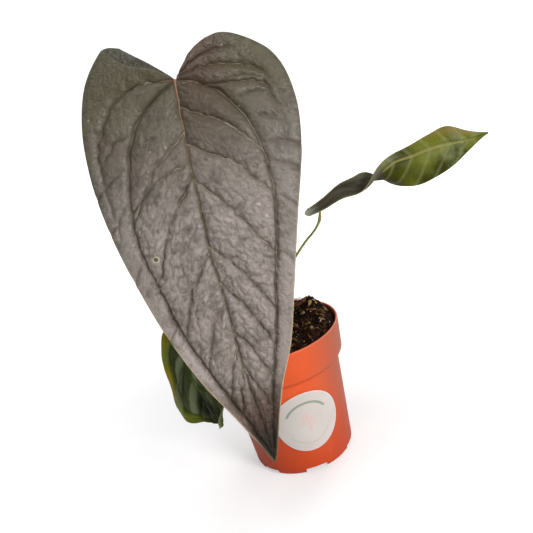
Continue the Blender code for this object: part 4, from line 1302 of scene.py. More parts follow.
def makePot():
    wall, edge, floorZ = pot["wall"], pot["edge"], pot["floor"]
    foot, top = pot["collarFoot"], pot["bodyTop"]
    shelf = collarZ + wall
    innerBase = bodyRadius(floorZ) - wall
    corners = [
        ((0, floorZ), 0), ((innerBase - edge / 2, floorZ), 1.2), ((top - wall, shelf - wall), 0.8),
        ((foot - wall, shelf + wall), 0.8), ((rimRadius - wall, potHeight - 0.1 * mm), 0.35),
        ((rimRadius - wall * 0.55, potHeight), 0.3), ((rimRadius, potHeight - 0.25 * mm), 0.4),
        ((rimRadius - 0.05 * mm, potHeight - 1.6 * mm), 0.5), ((foot + 0.02 * mm, collarZ + 0.9 * mm), 0.9),
        ((foot - 0.9 * mm, collarZ - 0.2 * mm), 0.7), ((top, collarZ - 1.9 * mm), 1.1),
        ((bodyRadius(1.6 * mm), 1.6 * mm), 1.2), ((pot["base"] - 1.3 * mm, 0), 0.6),
        ((pot["base"] - 3.6 * mm, 0), 0.4),
        ((pot["base"] - 4.2 * mm, 0.5 * mm), 0.4), ((0, 0.5 * mm), 0),
    ]
    profile = []
    for i, (corner, radius) in enumerate(corners):
        if radius:
            profile += roundedCorner(corners[i - 1][0], corner, corners[i + 1][0], radius * mm)
        else:
            profile.append(corner)
    # long straight walls get extra rings
    full = [profile[0]]
    for point in profile[1:]:
        last = full[-1]
        extra = int(math.dist(last, point) / (3.5 * mm))
        for step in range(1, extra + 1):
            t = step / (extra + 1)
            full.append((last[0] * (1 - t) + point[0] * t, last[1] * (1 - t) + point[1] * t))
        full.append(point)
    shell = latheMesh("nurseryPot", full, pot["steps"], orangePlastic())
    cutters = []
    for i in range(pot["drains"]):
        angle = math.radians(pot["drainTurn"] + i * 360 / pot["drains"] - 90)
        bpy.ops.mesh.primitive_cube_add(size=1)
        notch = bpy.context.object
        size = Matrix.Diagonal((2 * pot["drainReach"], pot["drainWidth"], 2 * pot["drainHeight"], 1))
        place = Matrix.Translation((pot["base"] * math.cos(angle), pot["base"] * math.sin(angle), 0))
        notch.data.transform(place @ Matrix.Rotation(angle, 4, "Z") @ size)
        notch.data.materials.append(shell.data.materials[0])
        cut = shell.modifiers.new("drain", "BOOLEAN")
        cut.object = notch
        cut.solver = "EXACT"
        cutters.append(notch)
    shell = applied(shell)
    for notch in cutters:
        bpy.data.objects.remove(notch, do_unlink=True)
    shell.data.set_sharp_from_angle(angle=math.radians(32))
    finishPiece(shell, ["pot"])


def orangePlastic():
    # thin moulded plastic: orange, satin, a little scuffed and specked; painted shade darkens it towards the
    # foot, and painted shade with a painted pinkish sheen dulls its right side
    material, tree, shader = newMaterial("orangePlastic")
    place = objectPlace(tree)
    height = tree.nodes.new("ShaderNodeSeparateXYZ")
    tree.links.new(place, height.inputs[0])
    mottle = noise(tree, place, 22, 4, 0.6)
    colour = mixColour(tree, between(tree, mottle, 0.3, 0.7), (0.70, 0.086, 0.014), (0.78, 0.105, 0.019))
    # painted shade and a painted pinkish sheen: the right side of the pot is duller and darker
    rightShadeAndSheen = between(
        tree, plus(tree, height.outputs["X"], between(tree, mottle, 0.3, 0.7, -0.002, 0.002)), 0.005, 0.032,
        0.0, 0.90
    )
    colour = paint(tree, colour, (0.37, 0.088, 0.042), rightShadeAndSheen)
    # painted shade: darker towards the foot
    low = between(tree, height.outputs["Z"], 0.0, 0.055, 0.70, 0.0)
    colour = paint(tree, colour, (0.48, 0.040, 0.004), low)
    stretched = objectPlace(tree, (1, 1, 0.06))
    scuffs = between(tree, noise(tree, stretched, 260, 5, 0.7), 0.60, 0.78)
    colour = paint(tree, colour, (0.86, 0.24, 0.12), scuffs, 0.22)
    lip = between(tree, height.outputs["Z"], potHeight - 0.9 * mm, potHeight - 0.1 * mm)
    colour = paint(tree, colour, (0.90, 0.24, 0.10), lip, 0.35)
    dots = placeGroup(tree, specks, Vector=place, Scale=210.0, Size=0.09, Share=0.04)
    colour = paint(tree, colour, (0.30, 0.09, 0.04), dots["Dots"], 0.5)
    setSkin(
        tree, shader,
        {
            "Base Color": colour, "Roughness": between(tree, mottle, 0.25, 0.75, 0.34, 0.46),
            "Specular IOR Level": 0.38
        }
    )
    grain = noise(tree, place, 900, 3, 0.6)
    flow = noise(tree, place, 45, 2, 0.5)
    normal = bump(tree, flow, 0.12, 0.0015)
    normal = bump(tree, scuffs, 0.10, 0.0001, normal)
    tree.links.new(bump(tree, grain, 0.12, 0.00006, normal), shader.inputs["Normal"])
    return material


sticker = {
    "radius": 17.3 * mm, "height": 31.2 * mm, "angle": 10.5, "thickness": 0.3 * mm, "stand": 0.45 * mm,
    "rings": 26, "steps": 120,
}


def makeSticker():
    # a round paper disc laid on the cone of the pot, its edge a little lifted
    radii = np.linspace(0, 1, sticker["rings"] + 1)
    bm = bmesh.new()
    keyX = bm.verts.layers.float.new("labelX")
    keyY = bm.verts.layers.float.new("labelY")
    rings = []
    lean = Vector((1, baseSlope)).normalized()

    def lay(x, y, outwards):
        z = sticker["height"] + y * lean.x
        radius = bodyRadius(z) + sticker["stand"] + outwards
        angle = math.radians(sticker["angle"] - 90) + x / bodyRadius(sticker["height"])
        vert = bm.verts.new((radius * math.cos(angle), radius * math.sin(angle), z))
        vert[keyX] = x / sticker["radius"]
        vert[keyY] = y / sticker["radius"]
        return vert

    thickness = sticker["thickness"]
    shape = [(share, thickness if share < 0.985 else thickness * 0.75) for share in radii]
    shape += [(1.0, 0.0), (0.66, 0.0), (0.33, 0.0), (0.0, 0.0)]  # the edge, then the back
    for share, outwards in shape:
        ring = []
        for i in range(sticker["steps"]):
            angle = 2 * math.pi * i / sticker["steps"]
            if share == 0 and i:
                ring.append(ring[0])
                continue
            lifted = outwards + 0.12 * mm * max(0, share - 0.9) * 10 * (0.5 + 0.5 * math.sin(angle * 3 + 1))
            radius = share * sticker["radius"]
            ring.append(lay(radius * math.cos(angle), radius * math.sin(angle), lifted))
        rings.append(ring)
    bridgeRings(bm, rings)
    label = newObject("roundSticker", meshFrom("roundSticker", bm), stickerPaper())
    mesh = label.data
    mesh.shade_smooth()
    mesh.set_sharp_from_angle(angle=math.radians(50))
    finishPiece(label, ["pot_label"])


def ellipseMask(tree, x, y, centre, size, angle):
    # 1 inside a turned ellipse on the sticker, soft at its edge
    turn = math.radians(angle)
    dx = minus(tree, x, centre[0])
    dy = minus(tree, y, centre[1])
    u = plus(tree, times(tree, dx, math.cos(turn)), times(tree, dy, math.sin(turn)))
    v = minus(tree, times(tree, dy, math.cos(turn)), times(tree, dx, math.sin(turn)))
    u, v = mathNode(tree, "DIVIDE", u, size[0]), mathNode(tree, "DIVIDE", v, size[1])
    far = plus(tree, times(tree, u, u), times(tree, v, v))
    return between(tree, far, 0.75, 1.1, 1.0, 0.0)


def stickerPaper():
    # off-white satin paper with a plain green arc, a thin ring and three plain pale pink leaf
    # shapes, and no lettering
    material, tree, shader = newMaterial("stickerPaper")
    place = objectPlace(tree)
    x, y = attribute(tree, "labelX"), attribute(tree, "labelY")
    fibre = noise(tree, place, 500, 4, 0.6)
    soft = noise(tree, place, 60, 2, 0.5)
    colour = mixColour(tree, between(tree, soft, 0.3, 0.7), (0.58, 0.53, 0.495), (0.625, 0.582, 0.547))
    colour = paint(tree, colour, (0.56, 0.52, 0.50), between(tree, fibre, 0.4, 0.7, 0.0, 0.15))
    for centre, size, angle in (
        ((-0.12, 0.10), (0.24, 0.10), 60), ((0.10, 0.02), (0.24, 0.10), 125),
        ((0.02, -0.16), (0.20, 0.08), 95)
    ):
        leafShape = ellipseMask(tree, x, y, centre, size, angle)
        colour = paint(tree, colour, (0.74, 0.42, 0.36), leafShape, 0.30)
    far = mathNode(tree, "SQRT", plus(tree, times(tree, x, x), times(tree, y, y)))
    arc = between(tree, mathNode(tree, "ABSOLUTE", minus(tree, far, 0.66)), 0.030, 0.045, 1.0, 0.0)
    arc = times(tree, arc, between(tree, y, 0.30, 0.32))
    colour = paint(tree, colour, (0.16, 0.24, 0.15), arc, 0.75)
    thin = between(tree, mathNode(tree, "ABSOLUTE", minus(tree, far, 0.72)), 0.008, 0.016, 1.0, 0.0)
    thin = times(tree, thin, between(tree, y, -0.42, -0.40, 1.0, 0.0))
    colour = paint(tree, colour, (0.30, 0.34, 0.22), thin, 0.45)
    rim = between(tree, far, 0.955, 0.99)
    colour = paint(tree, colour, (0.78, 0.74, 0.74), rim, 0.6)
    setSkin(
        tree, shader,
        {
            "Base Color": colour, "Roughness": between(tree, fibre, 0.3, 0.7, 0.42, 0.55),
            "Normal": bump(tree, fibre, 0.25, 0.00006)
        }
    )
    return material


mix = {
    "belowRim": 3.4 * mm, "heap": 14.0 * mm, "spread": 15.0 * mm, "x": 13.0 * mm, "y": 8.0 * mm,
    "gap": 0.3 * mm, "rings": 90, "steps": 240, "seed": 7,
    # the clod on top of the heap and the dip beside it: place, width and rise
    "lumps": [
        (24 * mm, 5 * mm, 4.0 * mm, 5.2 * mm), (29 * mm, -4 * mm, 6.0 * mm, 2.6 * mm),
        (9 * mm, 9 * mm, 8 * mm, -5.5 * mm), (8 * mm, -4 * mm, 6 * mm, -1.5 * mm)
    ],
    # loose bits: name, count per square metre, smallest and largest size
    "bits": [
        ("darkCrumbs", 330000, 0.9 * mm, 2.8 * mm), ("brownChips", 105000, 0.8 * mm, 3.3 * mm),
        ("strandBits", 60000, 1.6 * mm, 4.6 * mm), ("greenGrains", 30000, 0.45 * mm, 0.95 * mm),
        ("paleGrains", 11000, 0.40 * mm, 1.0 * mm),
    ],
}
mixRadius = rimRadius - pot["wall"] - 2 * mix["gap"]
mixTop = potHeight - mix["belowRim"]


def mixHeight(x, y):
    heap = np.exp(-((x - mix["x"]) ** 2 + (y - mix["y"]) ** 2) / (2 * mix["spread"] ** 2))
    edge = 1 - np.minimum(np.hypot(x, y) / mixRadius, 1) ** 6
    return mixTop + mix["heap"] * heap * edge


def heapHeight(x, y):
    # the smooth heap with its clod and dips
    height = mixHeight(x, y)
    edge = 1 - np.minimum(np.hypot(x, y) / mixRadius, 1) ** 14
    for lumpX, lumpY, width, rise in mix["lumps"]:
        height = height + edge * rise * np.exp(-((x - lumpX) ** 2 + (y - lumpY) ** 2) / (2 * width**2))
    return height


def lumpyHeight(x, y):
    points = np.stack([np.ravel(x), np.ravel(y)], 1)
    lumps = waves(points, 9 * mm, 41) * 0.55 * mm + waves(points, 3.6 * mm, 42) * 0.40 * mm
    lumps += waves(points, 1.7 * mm, 43) * 0.20 * mm
    crumbs = cellEdges(
        points, scatterSeeds((2.4 * mm, 2.2 * mm), (-0.04, -0.04), (0.04, 0.04), 0.45, mix["seed"])
    )
    lumps += 0.45 * mm * (1 - np.exp(-crumbs / (0.5 * mm)))
    edge = 1 - np.minimum(np.hypot(points[:, 0], points[:, 1]) / mixRadius, 1) ** 14
    return heapHeight(points[:, 0], points[:, 1]) + (lumps - 0.5 * mm) * edge


def polarSheet(name, radii, steps, closeBelow, material):
    # a disc of rings that follows the mix; closeBelow adds a wall and a floor under it
    angles = np.linspace(0, 2 * math.pi, steps, endpoint=False)
    x = np.outer(radii, np.cos(angles))
    y = np.outer(radii, np.sin(angles))
    z = lumpyHeight(x, y).reshape(x.shape)
    rings = [np.stack([x[i], y[i], z[i]], -1) for i in range(len(radii))]
    for radius, height in closeBelow:
        rings.append(
            np.stack([radius * np.cos(angles), radius * np.sin(angles), np.full(steps, height)], -1)
        )
    places = np.vstack(rings)
    count = len(rings)
    centre = len(places)
    middle = lumpyHeight(np.zeros(1), np.zeros(1))[0]
    places = np.vstack([places, [[0, 0, middle]]])
    faces = [(a, d, c, b) for a, b, c, d in ringQuads(count, steps)]
    faces += [(centre, j, (j + 1) % steps) for j in range(steps)]
    if closeBelow:
        places = np.vstack([places, [[0, 0, closeBelow[-1][1]]]])
        last = (count - 1) * steps
        faces += [(len(places) - 1, last + (j + 1) % steps, last + j) for j in range(steps)]
    mesh = bpy.data.meshes.new(name)
    mesh.from_pydata(places.tolist(), [], faces)
    mesh.shade_smooth()
    return newObject(name, mesh, material)


def chunkMesh(name, seed, stretch):
    random = np.random.default_rng(seed)
    bm = bmesh.new()
    bmesh.ops.create_icosphere(bm, subdivisions=1, radius=0.5)
    for vert in bm.verts:
        vert.co *= random.uniform(0.68, 1.15)
        vert.co = Vector(vert.co[k] * stretch[k] for k in range(3))
    return bpy.data.objects.new(name, meshFrom(name, bm))


def strandMesh(name, bend):
    # a thin bent strand, one unit long
    bm = bmesh.new()
    rings = []
    for i in range(7):
        t = i / 6
        centre = Vector((t - 0.5, bend * math.sin(math.pi * t), 0.12 * math.sin(math.pi * t)))
        width = 0.055 * (1.15 - abs(t - 0.45))
        rings.append([
            bm.verts.new(centre + Vector((0, width * math.cos(a), width * 0.7 * math.sin(a))))
            for a in (k * math.pi / 2.5 for k in range(5))
        ])
    for first, second in zip(rings, rings[1:]):
        for k in range(5):
            bm.faces.new((first[k], first[(k + 1) % 5], second[(k + 1) % 5], second[k]))
    bm.faces.new(rings[0][::-1])
    bm.faces.new(rings[-1])
    bmesh.ops.recalc_face_normals(bm, faces=bm.faces)
    return bpy.data.objects.new(name, meshFrom(name, bm))


def scatterTree():
    # Geometry Nodes: shapes scattered over a surface, each with its own size, turn and tone
    tree = bpy.data.node_groups.new("scatterOnMix", "GeometryNodeTree")
    for name, kind in (
        ("Geometry", "Geometry"), ("Shapes", "Collection"), ("Density", "Float"), ("Smallest", "Float"),
        ("Largest", "Float"), ("Tilt", "Float"), ("Seed", "Int"), ("Material", "Material"),
    ):
        tree.interface.new_socket(name, in_out="INPUT", socket_type="NodeSocket" + kind)
    tree.interface.new_socket("Geometry", in_out="OUTPUT", socket_type="NodeSocketGeometry")
    given = tree.nodes.new("NodeGroupInput").outputs
    out = tree.nodes.new("NodeGroupOutput").inputs
    new, join = tree.nodes.new, tree.links.new
    points = new("GeometryNodeDistributePointsOnFaces")
    join(given["Geometry"], points.inputs["Mesh"])
    join(given["Density"], points.inputs["Density"])
    join(given["Seed"], points.inputs["Seed"])
    shapes = new("GeometryNodeCollectionInfo")
    shapes.inputs["Separate Children"].default_value = True
    shapes.inputs["Reset Children"].default_value = True
    join(given["Shapes"], shapes.inputs["Collection"])

    def randomValue(kind, low, high, offset):
        node = new("FunctionNodeRandomValue")
        node.data_type = kind
        sockets = [s for s in node.inputs if s.enabled and s.name in ("Min", "Max")]
        for socket, value in zip(sockets, (low, high)):
            if isinstance(value, bpy.types.NodeSocket):
                join(value, socket)
            else:
                socket.default_value = value
        shift = new("ShaderNodeMath")
        shift.inputs[1].default_value = offset
        join(given["Seed"], shift.inputs[0])
        join(shift.outputs[0], next(s for s in node.inputs if s.name == "Seed"))
        return next(s for s in node.outputs if s.enabled)

    turn = new("FunctionNodeRotateRotation")
    turn.rotation_space = "LOCAL"
    join(points.outputs["Rotation"], turn.inputs[0])
    spin = new("ShaderNodeCombineXYZ")
    lean = new("ShaderNodeMath")
    lean.operation = "MULTIPLY"
    lean.inputs[1].default_value = -1
    join(given["Tilt"], lean.inputs[0])
    join(randomValue("FLOAT", lean.outputs[0], given["Tilt"], 3), spin.inputs[0])
    join(randomValue("FLOAT", lean.outputs[0], given["Tilt"], 4), spin.inputs[1])
    join(randomValue("FLOAT", 0.0, 2 * math.pi, 5), spin.inputs[2])
    toTurn = new("FunctionNodeEulerToRotation")
    join(spin.outputs[0], toTurn.inputs[0])
    join(toTurn.outputs[0], turn.inputs[1])
    instances = new("GeometryNodeInstanceOnPoints")
    instances.inputs["Pick Instance"].default_value = True
    join(points.outputs["Points"], instances.inputs["Points"])
    join(shapes.outputs[0], instances.inputs["Instance"])
    join(turn.outputs[0], instances.inputs["Rotation"])
    join(randomValue("FLOAT", given["Smallest"], given["Largest"], 1), instances.inputs["Scale"])
    tone = new("GeometryNodeStoreNamedAttribute")
    tone.data_type = "FLOAT"
    tone.domain = "INSTANCE"
    tone.inputs["Name"].default_value = "tone"
    join(instances.outputs[0], tone.inputs["Geometry"])
    join(randomValue("FLOAT", 0.0, 1.0, 2), tone.inputs["Value"])
    real = new("GeometryNodeRealizeInstances")
    join(tone.outputs[0], real.inputs[0])
    painted = new("GeometryNodeSetMaterial")
    join(real.outputs[0], painted.inputs["Geometry"])
    join(given["Material"], painted.inputs["Material"])
    join(painted.outputs[0], out["Geometry"])
    return tree


def setInput(modifier, name, value):
    for item in modifier.node_group.interface.items_tree:
        if item.in_out == "INPUT" and item.name == name:
            modifier[item.identifier] = value


def scatter(name, carrier, tree, shapes, density, low, high, tilt, seed, material):
    group = bpy.data.collections.new(name + "Shapes")
    for shape in shapes:
        group.objects.link(shape)
    obj = newObject(name, carrier.data.copy())
    spread = obj.modifiers.new("scatter", "NODES")
    spread.node_group = tree
    values = {
        "Shapes": group, "Density": density, "Smallest": low, "Largest": high,
        "Tilt": tilt, "Seed": seed, "Material": material,
    }
    for key, value in values.items():
        setInput(spread, key, value)
    obj = applied(obj)
    obj.data.materials.clear()
    obj.data.materials.append(material)
    for shape in shapes:
        bpy.data.objects.remove(shape, do_unlink=True)
    finishPiece(obj, None)
    print("scattered", name, len(obj.data.polygons), "faces")


def tonedMaterial(name, stops, roughness, grainScale=700, bumpSize=0.0002, useTone=True):
    # a rough natural surface whose colour differs from bit to bit
    material, tree, shader = newMaterial(name)
    place = objectPlace(tree)
    grain = noise(tree, place, grainScale, 4, 0.65)
    source = attribute(tree, "tone") if useTone else noise(tree, place, 120, 2, 0.5)
    colour = ramp(tree, source, stops)
    colour = paint(tree, colour, (0.004, 0.003, 0.002), between(tree, grain, 0.35, 0.7, 0.55, 0.0))
    setSkin(
        tree, shader,
        {
            "Base Color": colour, "Roughness": between(tree, grain, 0.3, 0.7, roughness, roughness * 0.8),
            "Specular IOR Level": 0.06, "Normal": bump(tree, grain, 0.6, bumpSize)
        }
    )
    return material


def makeMix():
    gap, wall = mix["gap"], pot["wall"]
    collar = pot["collarFoot"] - wall - 2 * gap
    rim = collar + (rimRadius - pot["collarFoot"]) * (1 - mix["belowRim"] / pot["collarHeight"])
    radii = rim * np.linspace(0, 1, mix["rings"] + 1)[1:]
    innerBase = bodyRadius(pot["floor"]) - wall - gap
    below = [
        (collar, collarZ + 2 * wall + gap), (pot["bodyTop"] - wall - gap, collarZ + gap - wall),
        (innerBase - gap, pot["floor"] + pot["edge"] + gap),
        (innerBase - pot["edge"] - gap, pot["floor"] + gap),
    ]
    soil = tonedMaterial(
        "pottingMix",
        [(0.3, (0.006, 0.003, 0.002)), (0.5, (0.014, 0.006, 0.003)), (0.7, (0.036, 0.015, 0.006))], 0.95,
        900, 0.0003, False
    )
    body = polarSheet("pottingMixBody", radii, mix["steps"], below, soil)
    finishPiece(body, ["potting_mix"])
    carrier = polarSheet("carrier", radii[:-5], 96, [], soil)
    tree = scatterTree()
    looks = {
        "darkCrumbs": (
            [
                chunkMesh("crumbA", 1, (1, 0.8, 0.6)), chunkMesh("crumbB", 2, (1.1, 0.6, 0.5)),
                chunkMesh("crumbC", 3, (0.8, 0.8, 0.7))
            ],
            0.9,
            tonedMaterial(
                "darkCrumb",
                [
                    (0.0, (0.003, 0.002, 0.001)), (0.6, (0.010, 0.004, 0.002)),
                    (0.85, (0.045, 0.016, 0.007)), (1.0, (0.100, 0.034, 0.016))
                ],
                0.8
            ),
            "potting_mix",
        ),
        "brownChips": (
            [
                chunkMesh("chipA", 4, (1.3, 0.6, 0.35)), chunkMesh("chipB", 5, (1.0, 0.7, 0.4)),
                chunkMesh("chipC", 6, (1.5, 0.45, 0.35))
            ],
            0.8,
            tonedMaterial(
                "brownChip",
                [
                    (0.0, (0.040, 0.014, 0.006)), (0.35, (0.110, 0.042, 0.014)),
                    (0.55, (0.24, 0.140, 0.038)), (0.72, (0.38, 0.26, 0.095)), (0.90, (0.56, 0.37, 0.20)),
                    (1.0, (0.64, 0.38, 0.27))
                ],
                0.75
            ),
            "bark",
        ),
        "strandBits": (
            [strandMesh("strandA", 0.10), strandMesh("strandB", 0.28), strandMesh("strandC", -0.18)],
            0.35,
            tonedMaterial(
                "strand",
                [
                    (0.0, (0.08, 0.030, 0.018)), (0.5, (0.22, 0.095, 0.045)), (0.8, (0.36, 0.19, 0.09)),
                    (1.0, (0.30, 0.14, 0.12))
                ],
                0.7
            ),
            "coir",
        ),
        "greenGrains": (
            [chunkMesh("grainA", 7, (1, 0.92, 0.9))],
            0.5,
            tonedMaterial(
                "greenGrain",
                [(0.0, (0.20, 0.21, 0.03)), (0.6, (0.34, 0.35, 0.08)), (1.0, (0.44, 0.42, 0.16))], 0.5
            ),
            "granule",
        ),
        "paleGrains": (
            [chunkMesh("perliteA", 8, (1, 0.9, 0.8)), chunkMesh("perliteB", 9, (0.9, 0.8, 0.9))],
            0.5,
            tonedMaterial(
                "paleGrain",
                [(0.0, (0.30, 0.23, 0.11)), (0.5, (0.48, 0.40, 0.24)), (1.0, (0.70, 0.62, 0.44))], 0.85
            ),
            "perlite",
        ),
    }
    for seed, (name, density, low, high) in enumerate(mix["bits"]):
        shapes, tilt, material, slotName = looks[name]
        scatter(name, carrier, tree, shapes, density, low, high, tilt, seed + 3, material)
    bpy.data.objects.remove(carrier, do_unlink=True)


stem = {
    "x": 3.0 * mm, "y": 4.0 * mm, "radius": 5.2 * mm, "topRadius": 4.5 * mm, "above": 5.0 * mm,
    "below": 16.0 * mm
}
stemBaseZ = float(mixHeight(np.array(stem["x"]), np.array(stem["y"])))
stemTopZ = stemBaseZ + stem["above"]


def tubePiece(name, path, radii, sides, material, replaced):
    # a round tube with closed ends along a path; carried along without twisting
    path = np.array(path, float)
    tangents = np.gradient(path, axis=0)
    tangents /= np.linalg.norm(tangents, axis=1)[:, None]
    normal = np.cross(tangents[0], (0.3, 0.9, 0.1))
    places, along = [], np.linspace(0, 1, len(path))
    angles = np.linspace(0, 2 * math.pi, sides, endpoint=False)
    for point, tangent, radius in zip(path, tangents, radii):
        normal = normal - tangent * (normal @ tangent)
        normal /= np.linalg.norm(normal)
        other = np.cross(tangent, normal)
        places.append(point + radius * (np.outer(np.cos(angles), normal) + np.outer(np.sin(angles), other)))
    count = len(path)
    places = np.vstack([*places, path[:1], path[-1:]])
    faces = ringQuads(count, sides)
    faces += [(count * sides, (j + 1) % sides, j) for j in range(sides)]
    last = (count - 1) * sides
    faces += [(count * sides + 1, last + j, last + (j + 1) % sides) for j in range(sides)]
    mesh = bpy.data.meshes.new(name)
    mesh.from_pydata(places.tolist(), [], faces)
    layer = mesh.attributes.new("along", "FLOAT", "POINT")
    layer.data.foreach_set("value", np.concatenate([np.repeat(along, sides), [0, 1]]).astype(np.float32))
    mesh.shade_smooth()
    finishPiece(newObject(name, mesh, material), replaced)


def stalkRadii(count, radius):
    # a little thicker below, with the swollen joint just under the blade
    t = np.linspace(0, 1, count)
    return radius * (1.12 - 0.22 * t + 0.45 * np.exp(-(((t - 0.93) / 0.045) ** 2)))


def stalkSkin(name, low, high, blush):
    material, tree, shader = newMaterial(name)
    stretched = objectPlace(tree, (1, 1, 0.12))
    streaks = noise(tree, stretched, 900, 4, 0.6)
    mottle = noise(tree, objectPlace(tree), 90, 3, 0.6)
    colour = mixColour(tree, between(tree, streaks, 0.3, 0.7), low, high)
    colour = paint(tree, colour, blush, between(tree, mottle, 0.5, 0.7, 0.0, 0.35))
    colour = paint(tree, colour, blush, between(tree, attribute(tree, "along"), 0.86, 0.97, 0.0, 0.8))
    setSkin(
        tree, shader, {"Base Color": colour, "Roughness": 0.42, "Normal": bump(tree, streaks, 0.4, 0.00012)}
    )
    return material


def makeStalks():
    green = stalkSkin("stalkGreen", (0.115, 0.150, 0.018), (0.205, 0.230, 0.040), (0.260, 0.190, 0.050))
    olive = stalkSkin("stalkOlive", (0.105, 0.105, 0.028), (0.165, 0.155, 0.045), (0.280, 0.120, 0.060))

    def stemTop(dx, dy):
        return np.array([stem["x"] + dx * mm, stem["y"] + dy * mm, stemTopZ + 0.3 * mm])

    leaf = largeLeaf
    tilt = math.radians(leaf["tiltTop"])
    back = np.array([0, math.cos(tilt), -math.sin(tilt)])
    top = hangLarge(np.zeros(1), np.array([1.5 * mm]), np.zeros(1), leaf)[0]
    end = top + back * 0.9 * mm
    start = stemTop(-1.2, -1.2)
    high = end[2] - start[2]
    path = smoothCurve([
        start, start + (-0.3 * mm, 1 * mm, 0.22 * high), start + (-3 * mm, 1 * mm, 0.56 * high),
        start + (-9 * mm, -5 * mm, 0.86 * high), end + back * 9 * mm + (0.2 * mm, 0, -4 * mm),
        end + back * 3 * mm, end,
    ], 110)
    tubePiece("stalkLarge", path, stalkRadii(110, 1.7 * mm), 20, olive, ["petiole_large"])

    face = np.array(oldLeaf["faceWay"])
    end = oldLeafBase() + np.array(oldLeaf["widthWay"]) * 2 * mm - (0, 0, 2 * mm) - face * 0.8 * mm
    start = stemTop(-1.4, 2.4)
    path = smoothCurve([
        start, start + (-0.6 * mm, 0.2 * mm, 3 * mm), start + (-3.2 * mm, 1 * mm, 9 * mm),
        start * 0.55 + end * 0.45 + (0, 1 * mm, 13 * mm), start * 0.2 + end * 0.8 + (0, 1 * mm, 12 * mm),
        end - face * 5 * mm + (0, 0, 4 * mm), end,
    ], 80)
    tubePiece("stalkOld", path, stalkRadii(80, 1.1 * mm), 16, green, ["petiole_old"])

    section = newLeafPlaces(
        np.array([[7.7 * mm / newLeaf["length"]]]), np.linspace(-1, 1, 41)[None, :]
    )[0][0]
    lowest = section[section[:, 2].argmin()]
    end = lowest + (0, 0, 0.15 * mm)
    start = stemTop(2.4, 0.5)
    path = smoothCurve([
        start, start + (2.6 * mm, -1 * mm, 7 * mm), end + (-18 * mm, 0.6 * mm, -20.4 * mm),
        end + (-11 * mm, 0.4 * mm, -13.8 * mm), end + (-5.4 * mm, 0.2 * mm, -9.4 * mm),
        end + (-1.7 * mm, 0, -5.0 * mm), end,
    ], 90)
    tubePiece("stalkNew", path, stalkRadii(90, 0.65 * mm), 14, green, ["petiole_new"])


def makeStem():
    # short stem with ring scars where older leaves stood
    count = 70
    z = np.linspace(stemBaseZ - stem["below"], stemTopZ, count)
    share = np.clip((z - stemBaseZ) / stem["above"], 0, 1)
    radii = stem["radius"] + (stem["topRadius"] - stem["radius"]) * share
    radii -= 2.4 * mm * np.clip((stemBaseZ - 6 * mm - z) / (10 * mm), 0, 1)
    radii -= 0.30 * mm * np.abs(np.sin((z - stemBaseZ) / (1.7 * mm) * math.pi / 2)) ** 6
    radii *= 1 - 0.5 * np.clip((z - stemTopZ + 0.6 * mm) / (0.6 * mm), 0, 1) ** 3
    path = np.stack([np.full(count, stem["x"]), np.full(count, stem["y"]), z], 1)
    material = tonedMaterial(
        "stemSkin", [(0.3, (0.060, 0.060, 0.016)), (0.5, (0.115, 0.105, 0.032)), (0.7, (0.20, 0.13, 0.06))],
        0.6, 500, 0.0002, False
    )
    tubePiece("stemCore", path, radii, 40, material, ["stem"])


roots = {
    "radius": 1.1 * mm, "depth": 3.4 * mm,
    # direction in degrees, reach from the stem and rise over the mix in mm
    "lines": [(-62, 15.0, 2.4), (-8, 17.0, 2.2), (58, 14.0, 2.6), (128, 16.0, 2.4), (206, 17.0, 2.6)],
}


def makeRoots():
    material = tonedMaterial(
        "rootSkin", [(0.3, (0.060, 0.024, 0.012)), (0.5, (0.14, 0.060, 0.030)), (0.7, (0.26, 0.13, 0.075))],
        0.65, 800, 0.0002, False
    )
    for i, (direction, reach, rise) in enumerate(roots["lines"]):
        t = np.linspace(0, 1, 50)
        distance = stem["radius"] + 0.6 * mm + reach * mm * t**0.9
        turn = math.radians(direction) + 0.25 * t * t
        x = stem["x"] + distance * np.cos(turn)
        y = stem["y"] + distance * np.sin(turn)
        lift = rise * mm - (rise * mm + roots["depth"]) * t * t
        path = np.stack([x, y, heapHeight(x, y) + lift], 1)
        knobs = 1 + 0.06 * np.sin(t * 31 + i * 2) + 0.05 * np.sin(t * 67 + i)
        radii = roots["radius"] * (1.1 - 0.3 * t) * knobs
        radii[:3] *= (0.6, 0.85, 0.97)
        tubePiece(f"aerialRoot{i + 1}", path, radii, 14, material, [f"aerial_root_{i + 1}"])


sheaths = {
    "thickness": 0.30 * mm, "lift": 2.6 * mm,
    # direction in degrees, height in mm, share of a full turn
    "scales": [(-150, 19.0, 0.22), (-66, 24.0, 0.18), (66, 16.0, 0.24)],
}


